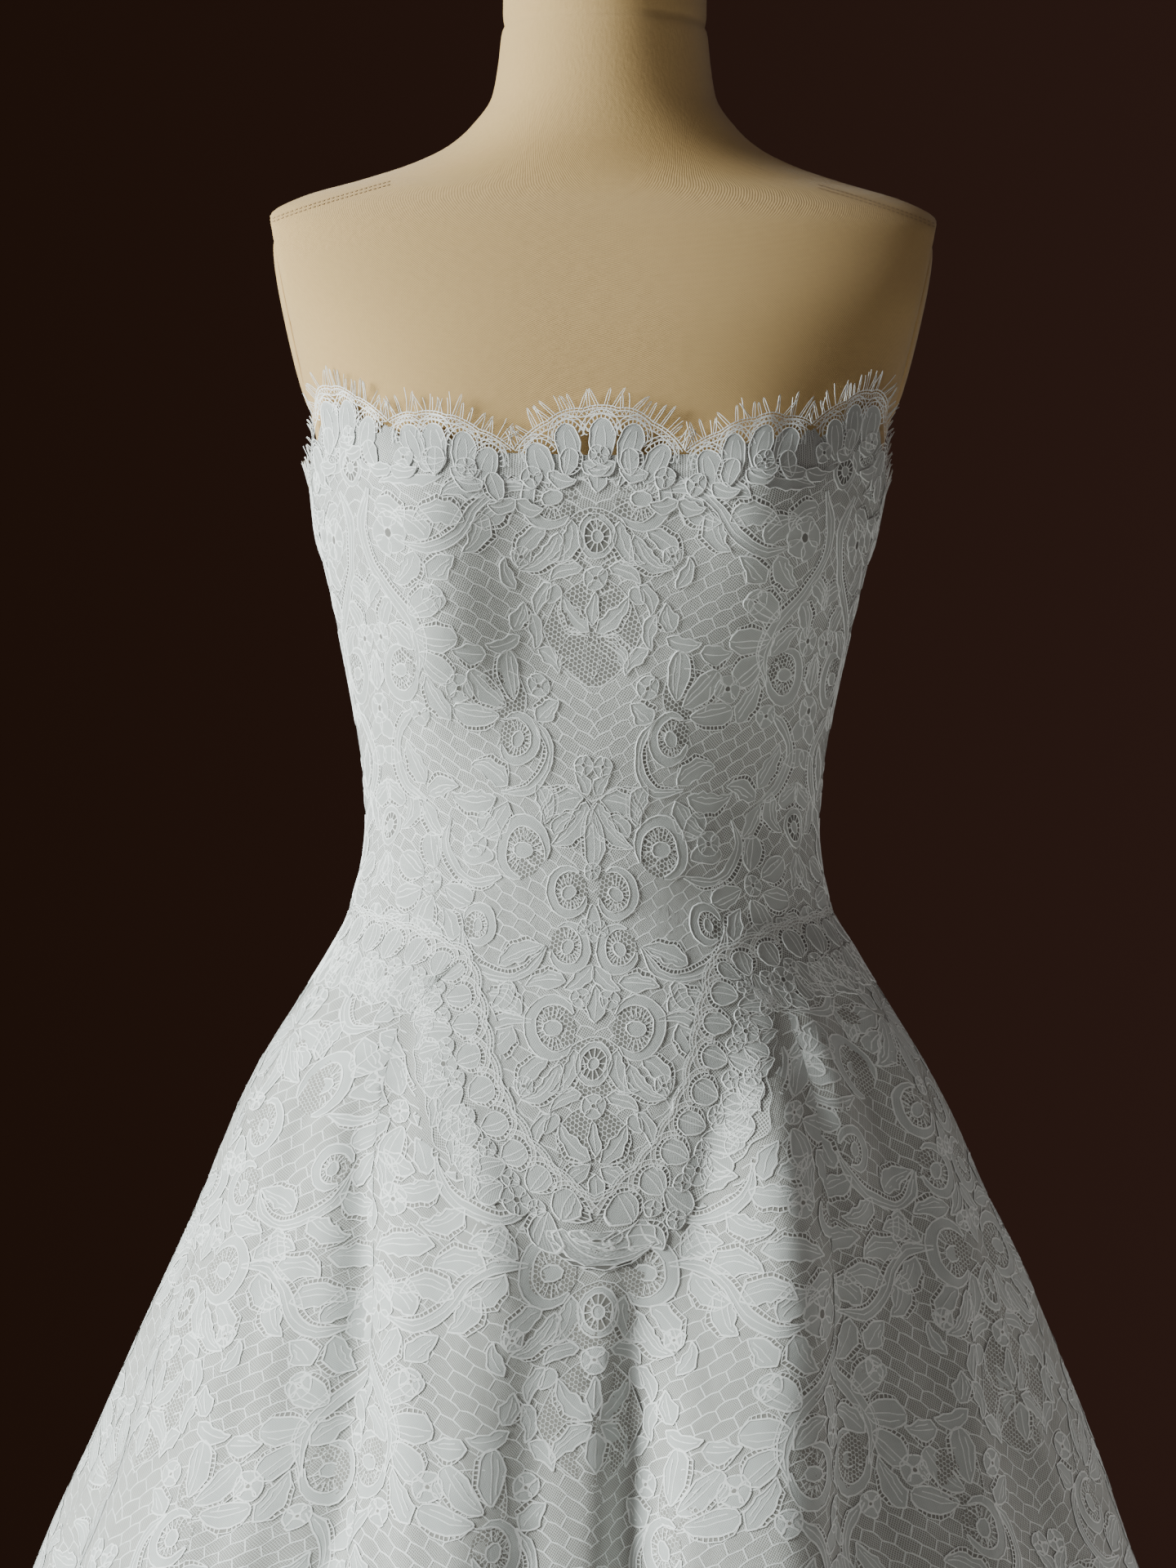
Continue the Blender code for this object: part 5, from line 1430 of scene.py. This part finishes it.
neckPieces = [("neckTrimFront", -52, 52), ("neckTrimLeft", 52, 180.1), ("neckTrimRight", -180.1, -52)]
notches = [angle for angle, z, peak in neckScallops if not peak]
notches = [-angle for angle in notches[::-1]] + notches
neckWork, lowerWork = newWork(1.2, True), newWork(1.1, True, 0.26)
dice = random.Random(trim["seed"] + 2)
edgePath = []
for a0, a1 in zip(notches, notches[1:] + [notches[0] + 360]):
    s0, s1 = np.interp((a0, a1), turnWide, topRun)
    lobes = max(3, int(round((s1 - s0) / neck["lobe"])))
    at = np.linspace(0, 1, int((s1 - s0) / 1.15))
    share = at * lobes % 1
    s = s0 + (s1 - s0) * at
    v = neckEdge(np.interp(s, topRun, turnWide)) * 1000 + neck["lobeHigh"] * np.sin(np.pi * share) ** 0.7 - 1.1
    path = np.stack([s, v], 1)
    edgePath.append(path[:-1])
    petals = []
    for k in range(lobes):
        t = (k + 0.5) / lobes
        lean = (t - 0.5) * 2
        turn = 90 - neck["petalFan"] * lean
        go = headingOf(turn)
        tall = neck["petalLong"] - neck["petalShorter"] * abs(lean)
        wide = min(neck["petalWide"] - neck["petalNarrower"] * abs(lean), (s1 - s0) / lobes * 0.74)
        tip = alongLine(t, at, path) - go * (trim["cordsApart"] + trim["netWide"] + trim["ladder"])
        petals.append((*(tip - go * tall), turn + dice.uniform(-4, 4), tall, wide * dice.uniform(0.92, 1.06)))
    order = sorted(range(lobes), key=lambda k: -abs((k + 0.5) / lobes - 0.5))
    addEdging(neckWork, path, [petals[k] for k in order], 1, trim["netWide"], False)
    # below and over the feet of the petals: shorter petals, leaves and flowers that run on into the bodice's lace
    for k in range(lobes * 2 + 1):
        t = k / (lobes * 2)
        foot = s0 + (s1 - s0) * t, np.interp(t, at, v) - (24 if k % 2 else 26.5) - 3.5 * math.sin(math.pi * t)
        if k % 4 == 1:
            addBloom(lowerWork, *foot, dice.uniform(0, 90), 5.4, 4 + k % 3 // 2)
        elif k % 4 == 3:
            addPetal(lowerWork, foot[0], foot[1] - 9, 90 + (t - 0.5) * 50, 15, 10, 1)
        else:
            addLeaf(lowerWork, *foot, 90 + (105 if t > 0.5 else -105) + dice.uniform(-14, 14), 17, 7.6,
                    (-30 if t > 0.5 else 30))

neckWork["ribbons"] += lowerWork["ribbons"]
neckMade = trimMesh(neckWork, "Petals", neckToBody, lambda a, z: neckLift(a, z) + neck["petalLift"], neckPieces)
for name, start, end in neckPieces:
    columns = np.arange(round(start), round(end) + 1, 1.0)
    top = tableAt(bodiceTop, 1, columns)
    # the ground stops below the edge, so that the form shows between the petals
    openTop = np.interp(np.abs(columns), neck["openTurns"], neck["open"])
    high = np.maximum(top + 0.002, neckEdge(columns) - openTop)
    ground = clothGrid(dressAt, columns, top - bodice["trimDeep"] - 0.003, high, 11, 0)
    a = np.broadcast_to(columns, ground["z"].shape)
    points = openSeams(ground["points"] + ground["normals"] * neckLift(a, ground["z"])[..., None])
    cut = np.stack([runOf(points), ground["z"]], -1)
    strip = clothPiece(name, points, cut, "ground", neck["thickness"])
    sewnLace = lacePiece(name + "Lace", bodiceLace, (laceAngle >= start) & (laceAngle < end) & inNeckTrim)
    declareCut(strip, points)


# the lashes: lengths in millimetres along the edge and out from it, then the thickness and lifts in metres
lash = {"apart": 1.75, "long": (9.0, 14.0), "loops": 0.55, "bend": 1.4, "thick": 0.00022, "lift": 0.0008,
        "rise": (-0.0004, 0.0016), "highest": 1.324}


def lashMesh(name, lines):
    # each lash is a thin three-sided tube along its own few points
    rings = []
    for line in lines:
        go = unitOf(np.gradient(line, axis=0))
        first = unitOf(np.cross(go, (0.3, 0.2, 0.93)))
        second = np.cross(go, first)
        rings.append(np.stack([line + (first * math.cos(t) + second * math.sin(t)) * lash["thick"]
                               for t in np.radians((0, 120, 240))], 1))
    count, steps = len(rings), rings[0].shape[0]
    each = gridQuads(steps, 3, True)
    quads = (each[None] + np.arange(count)[:, None, None] * steps * 3).reshape(-1, 4)
    return makeMesh(name, np.concatenate(rings), quads, [finish["cord"]])


dice = random.Random(trim["seed"])
edgePath = np.vstack(edgePath)
edgeRun = runOf(edgePath)
edgeSide = np.stack([np.convolve(column, bellOf(15), "same") for column in sideways(edgePath).T], 1)
lashes = {name: [] for name, _, _ in neckPieces}
at = lash["apart"]
while at < edgeRun[-1] - 1:
    foot, away = alongLine(at, edgeRun, edgePath), alongLine(at, edgeRun, edgeSide)
    swing = 0.24 * math.sin(at * 0.47) + 0.18 * math.sin(at * 1.13 + 1) + dice.uniform(-0.12, 0.12)
    c, s = math.cos(swing), math.sin(swing)
    away = np.array([away[0] * c - away[1] * s, away[0] * s + away[1] * c]) / max(0.2, np.linalg.norm(away))
    cross = leftOf(away)
    reach = dice.uniform(*lash["long"]) * (0.86 + 0.14 * math.sin(at * 0.21))
    t = np.linspace(0, 1, 7)[:, None]
    if dice.random() < lash["loops"]:
        spread = np.array([-0.7, -0.62, -0.42, 0, 0.42, 0.62, 0.7])[:, None]
        line = foot + away * reach * np.sin(np.pi * t) ** 0.8 + cross * spread
        lift = np.sin(np.pi * t[:, 0])
        at += lash["apart"] * 1.25
    else:
        bend = dice.uniform(-lash["bend"], lash["bend"])
        line = foot + away * reach * t + cross * bend * t ** 2
        lift = t[:, 0]
    angle, z = neckToBody(line[:, 0], line[:, 1])
    angle = np.clip(angle, turnWide[0], turnWide[-1])
    lifts = neckLift(angle, z) + lash["lift"] + lift * dice.uniform(*lash["rise"])
    placed = onGrid(bodyGrid, angle, np.minimum(z, lash["highest"]), lifts)
    middle = wrapped(angle[3])
    owner = [name for name, start, end in neckPieces if start <= middle < end][0]
    lashes[owner].append(placed)
    at += lash["apart"] * dice.uniform(0.8, 1.2)
for name, lines in lashes.items():
    fringe = name.replace("Trim", "Fringe")
    placePiece(fringe, lashMesh(fringe, lines), (nodeNamed(fringe),))
print("neck trim made:", sum(len(some) for some in lashes.values()), "lashes")

# the trim over the pointed waist seam

def waistLift(angle, z):
    # close on the bodice above and on the skirt's own lace at the lower edge; the point of the front stands off
    # a little
    top = tableAt(waist, 1, angle)
    down = (top - z) / (top - np.interp(wrapped(angle), footTurn, footLine))
    point = np.exp(-(np.abs(wrapped(angle)) / band["pointTurn"]) ** 4)
    return np.interp(down, band["down"], band["lift"]) + band["pointLift"] * point * np.clip(down, 0, 1) ** 3


waistPieces = [("waistTrimFrontLeft", 0, 90), ("waistTrimFrontRight", -90, 0), ("waistTrimBackLeft", 90, 180.1),
               ("waistTrimBackRight", -180.1, -90)]
waistWork = newWork(1.1, True)
s = np.linspace(-waistEnd, waistEnd, int(waistEnd * 2 / 1.3))
share = (s / lobeWide + 0.5) % 1
path = np.stack([s, 2.6 - 2.4 * np.sin(np.pi * share) ** 0.7], 1)
dice = random.Random(trim["seed"] + 1)
middles = [(k - waistLobes // 2 + (0 if waistLobes % 2 else 0.5)) * lobeWide for k in range(waistLobes)]
petals = []
for middle in middles:
    lean = 12 * math.sin(middle * 0.09)
    petals.append((middle - 0.14 * lean, dice.uniform(21, 23), -90 + lean, dice.uniform(14, 16.5),
                   dice.uniform(12.2, 14)))
addEdging(waistWork, path, petals, -1, band["netWide"], True)
for k, middle in enumerate(middles):
    if k % 4 == 0:
        addBloom(waistWork, middle, 30, dice.uniform(0, 60), 7.2, 5)
    elif k % 4 == 1:
        addPetal(waistWork, middle - 4, 23, 74 + dice.uniform(-9, 9), 19, 11, 1)
        addLeaf(waistWork, middle + 3, 25, 48 + dice.uniform(-8, 8), 21, 8.6, -30)
    elif k % 4 == 2:
        addLeaf(waistWork, middle - 7, 25, 52 + dice.uniform(-8, 8), 22, 8.6, 34)
        addLeaf(waistWork, middle + 1, 24, 100, 17, 8, -20)
    else:
        addPetal(waistWork, middle + 2, 22, 96 + dice.uniform(-9, 9), 18, 12, 1)
        addBloom(waistWork, middle - 5, 37, 0, 4.4, 4)
    addBloom(waistWork, middle + lobeWide / 2, dice.uniform(24, 27), 10, 4.2, 4)
    if abs(middle) > 34:
        addPetal(waistWork, middle + lobeWide * 0.5, 30, 90 + dice.uniform(-14, 14), 14.5, 10.5, 1)
        addLeaf(waistWork, middle - 5, 39, 20 + dice.uniform(-20, 20), 15, 7.6, 24)

hemLine = np.linspace(-waistEnd, waistEnd, int(waistEnd * 2 / 2.2))
addCord(waistWork, np.stack([hemLine, waistFoot(hemLine)], 1), True, -0.2)
waistMade = trimMesh(waistWork, "Petals", waistToBody, lambda a, z: waistLift(a, z) + band["petalLift"], waistPieces)
across = np.linspace(0, 1, 10)
for name, start, end in waistPieces:
    s = np.linspace(*np.interp((max(start, -180), min(end, 180)), evenAngle, evenRun), 70)
    flatS, flatT = (side.ravel() for side in np.meshgrid(s, across[::-1]))
    flatT = band["top"] + (waistFoot(flatS) - band["top"]) * flatT
    angle, z = waistToBody(flatS, flatT)
    points = onGrid(bodyGrid, angle, z, waistLift(angle, z)).reshape(len(across), len(s), 3)
    cut = np.stack([flatS, -flatT], -1) / 1000
    strip = clothPiece(name, points, cut, "ground", band["thickness"])
    declareCut(strip, points)
print("waist trim made")

# the closure: a narrow placket with covered buttons, and a row of short stitches along each edge

closure = {"halfAngle": 4.0, "halfWide": 0.007, "lift": 0.0036, "crown": 0.0005, "thickness": 0.0008,
           "overWaist": 0.0007, "belowTrim": 0.0045, "buttons": 12, "radius": 0.0055, "buttonLift": 0.0014,
           "stitchAt": 5.4, "stitchLong": 2.4, "stitchesApart": 0.0042, "stitchLift": 0.0006, "stitchSpare": 0.003}
low = float(tableAt(waist, 1, 180.0)) + closure["overWaist"]
high = float(tableAt(bodiceTop, 1, 180.0)) - bodice["trimDeep"] - closure["belowTrim"]
turns = np.linspace(180 - closure["halfAngle"], 180 + closure["halfAngle"], 9)
strip = clothGrid(dressAt, turns, np.full(9, low), np.full(9, high), 40, closure["lift"])
across = np.linspace(-1, 1, 9)
points = strip["points"] + strip["normals"] * (closure["crown"] * (1 - across ** 6))[None, :, None]
cut = np.stack([np.broadcast_to(across * closure["halfWide"], strip["z"].shape), strip["z"]], -1)
placket = clothPiece("backPlacket", points, cut, "satin", closure["thickness"])
stitchWork = newWork(1.0, False)
for side in (-1, 1):
    x = side * closure["stitchAt"]
    for z in np.arange(low + closure["stitchSpare"], high - closure["stitchSpare"], closure["stitchesApart"]):
        addCord(stitchWork, [(x, z * 1000), (x, z * 1000 + closure["stitchLong"])])
flat, quads, kinds = gathered(stitchWork)
placed = onGrid(strip, 180 + flat[:, 0] * closure["halfAngle"] / (closure["halfWide"] * 1000), flat[:, 1] / 1000,
                np.full(len(flat), closure["stitchLift"]))
stitches = lacePiece("backPlacketStitches", (placed, quads, kinds, flat[:, :2] / 1000))
declareCut(placket, points)


def buttonMesh(name, middle, outward):
    # a domed button covered in satin: a rolled rim, a crown and a closed back
    profile = [(0.05, -0.0006), (0.8, -0.0006), (0.97, 0.0002), (1.0, 0.001), (0.97, 0.0019), (0.88, 0.0028),
               (0.7, 0.0038), (0.46, 0.0046), (0.22, 0.0049), (0.03, 0.005)]
    turn = np.linspace(0, 2 * math.pi, 25)[:-1]
    rings = np.array([[(r * closure["radius"] * math.cos(a), r * closure["radius"] * math.sin(a), h) for a in turn]
                      for r, h in profile])
    spin = np.array(Vector(outward).to_track_quat("Z", "Y").to_matrix())
    return makeMesh(name, rings @ spin.T + middle, gridQuads(len(profile), 24, True), [finish["satin"]],
                    cut=rings[..., :2])


def onBack(angle, z):
    return dressAt(np.array(angle), np.array(z))


for i in range(closure["buttons"]):
    name = f"backButton{i + 1:02d}"
    boxLow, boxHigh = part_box(nodeNamed(name))
    z = (boxLow[2] + boxHigh[2]) / 2
    outward = np.cross(onBack(180.4, z) - onBack(179.6, z), onBack(180.0, z + 0.001) - onBack(180.0, z - 0.001))
    outward /= np.linalg.norm(outward)
    middle = onBack(180.0, z) + outward * (closure["lift"] + closure["buttonLift"])
    placePiece(name, buttonMesh(name, middle, outward), (nodeNamed(name),))
print("closure made")


# the form

form = {"sides": 128, "groove": 0.0007, "grooveZ": 1.4995, "grooveWide": 0.0013, "reach": 0.11,
        "seamX": (0.118, 0.182), "seamHeights": (1.4095, 1.3905), "rowsApart": 0.0022, "stitches": 26,
        "stitchLong": 0.024, "stitchFoot": 0.0005, "stitchHead": 0.0003, "stitchOut": 0.0005,
        "armholeLow": (0.158, 1.27), "armholeHigh": (0.186, 1.395), "armholeFrom": 1.14}
ease = shape["formEase"]
eased = dressRows[(dressRows[:, 0] > 1.005) & (dressRows[:, 0] < 1.33)] - (0, ease, ease, ease, 0)
formRows = np.vstack([hipRows, eased, shoulderRows])


def armholeX(z):
    (x0, z0), (x1, z1) = form["armholeLow"], form["armholeHigh"]
    return x0 + (z - z0) * (x1 - x0) / (z1 - z0)


heights = np.concatenate([np.linspace(0.79, 1.27, 41)[:-1], np.linspace(1.27, 1.36, 19)[:-1],
                          np.linspace(1.36, 1.535, 71)])
angles = np.linspace(-180, 180, form["sides"] + 1)[:-1]
a, z = np.meshgrid(angles, heights)
points = sectionPoint(formRows, a, z)
flat = armholeX(z)
over = (np.abs(points[..., 0]) > flat) & (z > form["armholeFrom"])
points[..., 0] = np.where(over, np.sign(points[..., 0]) * flat, points[..., 0])
outward = unitOf(np.stack([points[..., 0], points[..., 1], 0 * z], -1))
groove = form["groove"] * np.exp(-((z - form["grooveZ"]) / form["grooveWide"]) ** 2)
points = points - outward * groove[..., None]
cut = np.stack([np.radians(a) * form["reach"], z], -1)
quads = gridQuads(len(heights), form["sides"], True)
torsoMesh = makeMesh("formTorso", points, quads, [finish["cover"]], cut=cut)
placePiece("formTorso", torsoMesh, ("form_torso",))


def onFormFront(x, z):
    # the height of the form's front below a place on its elevation
    width, front, square = rowsAt(formRows, z, (1, 2, 4))
    return -front * (1 - (np.abs(x) / width) ** square) ** (1 / square)


seamSides = []
for side in (-1, 1):
    for at in np.linspace(0, 1, form["stitches"]):
        for row in (0, 1):
            near, far = form["seamX"]
            x0, x1 = (near + (far - near) * (at + step) for step in (0, form["stitchLong"]))
            z0, z1 = (np.interp(x, form["seamX"], form["seamHeights"]) - form["rowsApart"] * row for x in (x0, x1))
            low, high = form["stitchFoot"], form["stitchHead"]
            corners = [(x0, z0 - low), (x1, z1 - low), (x1, z1 + high), (x0, z0 + high)]
            corners = [(side * x, float(onFormFront(x, z)) - form["stitchOut"], z) for x, z in corners]
            seamSides.append(corners if side > 0 else corners[::-1])
quads = np.arange(len(seamSides) * 4).reshape(-1, 4)
seamMesh = makeMesh("formShoulderSeams", np.array(seamSides), quads, [finish["seam"]])
placePiece("formShoulderSeams", seamMesh)
print("form made")

# the armhole covers and the neck's cap: thin pads under the same jersey

pads = {"sides": 64, "armhole": (0.031, 0.05), "armholeMiddle": (0.006, 1.3325), "armholeDome": 0.0042,
        "armholeGap": 0.0004, "neckDome": 0.006, "neckFoot": 0.002}


def domeRings(reachX, reachY, height, foot):
    # rings from the middle of the crown out to the rim, then in again along the flat back
    shares = np.array([0.02, 0.2, 0.4, 0.58, 0.74, 0.86, 0.94, 0.985, 1.0, 0.99, 0.9, 0.5, 0.02])
    crown = height * np.sqrt(np.clip(1 - shares ** 3, 0, 1)) ** 1.1
    crown[9:] = (-foot * 0.4, -foot, -foot, -foot)
    turn = np.linspace(0, 2 * math.pi, pads["sides"] + 1)[:-1]
    return np.stack([np.stack([reachX * r * np.cos(turn), reachY * r * np.sin(turn), np.full(len(turn), h)], -1)
                     for r, h in zip(shares, crown)])


def placePad(name, node, placed, rings, forwards):
    quads = gridQuads(len(rings), pads["sides"], True)
    mesh = makeMesh(name, placed, quads if forwards else quads[:, ::-1], [finish["cover"]], cut=rings[..., :2])
    cover = placePiece(name, mesh, (node,))


lean = math.atan2(form["armholeHigh"][0] - form["armholeLow"][0], form["armholeHigh"][1] - form["armholeLow"][1])
for side, hand in ((1, "Left"), (-1, "Right")):
    rings = domeRings(*pads["armhole"], pads["armholeDome"], 0.0)
    up = np.array([side * math.sin(lean), 0, math.cos(lean)])
    out = np.array([side * math.cos(lean), 0, -math.sin(lean)])
    along = np.array([0, 1, 0])
    y, z = pads["armholeMiddle"]
    start = np.array([side * armholeX(z), y, z]) + out * pads["armholeGap"]
    placed = start + rings[..., :1] * along + rings[..., 1:2] * up + rings[..., 2:] * out
    placePad("armholeCover" + hand, "form_armhole_plate_" + hand.lower(), placed, rings, side < 0)
boxLow, boxHigh = (np.array(corner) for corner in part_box("neck_cap"))
middle = (boxLow + boxHigh) / 2
rings = domeRings(*(boxHigh - boxLow)[:2] / 2, pads["neckDome"], pads["neckFoot"])
placed = rings + (middle[0], middle[1], boxHigh[2] - pads["neckDome"])
placePad("neckCap", "neck_cap", placed, rings, False)
print("covers made")

for node, look in (("stand_base", "painted"), ("stand_pole", "steel"), ("stand_collar", "wood")):
    for slot in bpy.data.objects[node].material_slots:
        slot.material = finish[look]

# the floor

floorLook = {"dark": (0.6, 0.58, 0.55), "light": (0.66, 0.64, 0.61), "roughness": 0.7, "middleY": -0.3,
             "radii": (0.02, 1.2, 3.3), "sides": 96}
floorMaterial, tree, shader = freshMaterial("pale studio floor")
tone = noiseOf(tree, objectPlace(tree), 3.0, 3.0)
feed(tree, shader, {"Base Color": mixColour(tree, tone, floorLook["dark"], floorLook["light"]),
                    "Roughness": floorLook["roughness"]})
a = np.linspace(0, 2 * math.pi, floorLook["sides"] + 1)[:-1]
rings = np.stack([np.stack([r * np.cos(a), r * np.sin(a) + floorLook["middleY"], 0 * a], -1)
                  for r in floorLook["radii"]])
quads = gridQuads(len(rings), floorLook["sides"], True)
floor = bpy.data.objects.new("studioFloor", makeMesh("studioFloor", rings[:, ::-1], quads, [floorMaterial]))
bpy.context.collection.objects.link(floor)

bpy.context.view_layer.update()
for name, size in cutSizes.items():
    print("cut", name, *size)
print("scene ready")
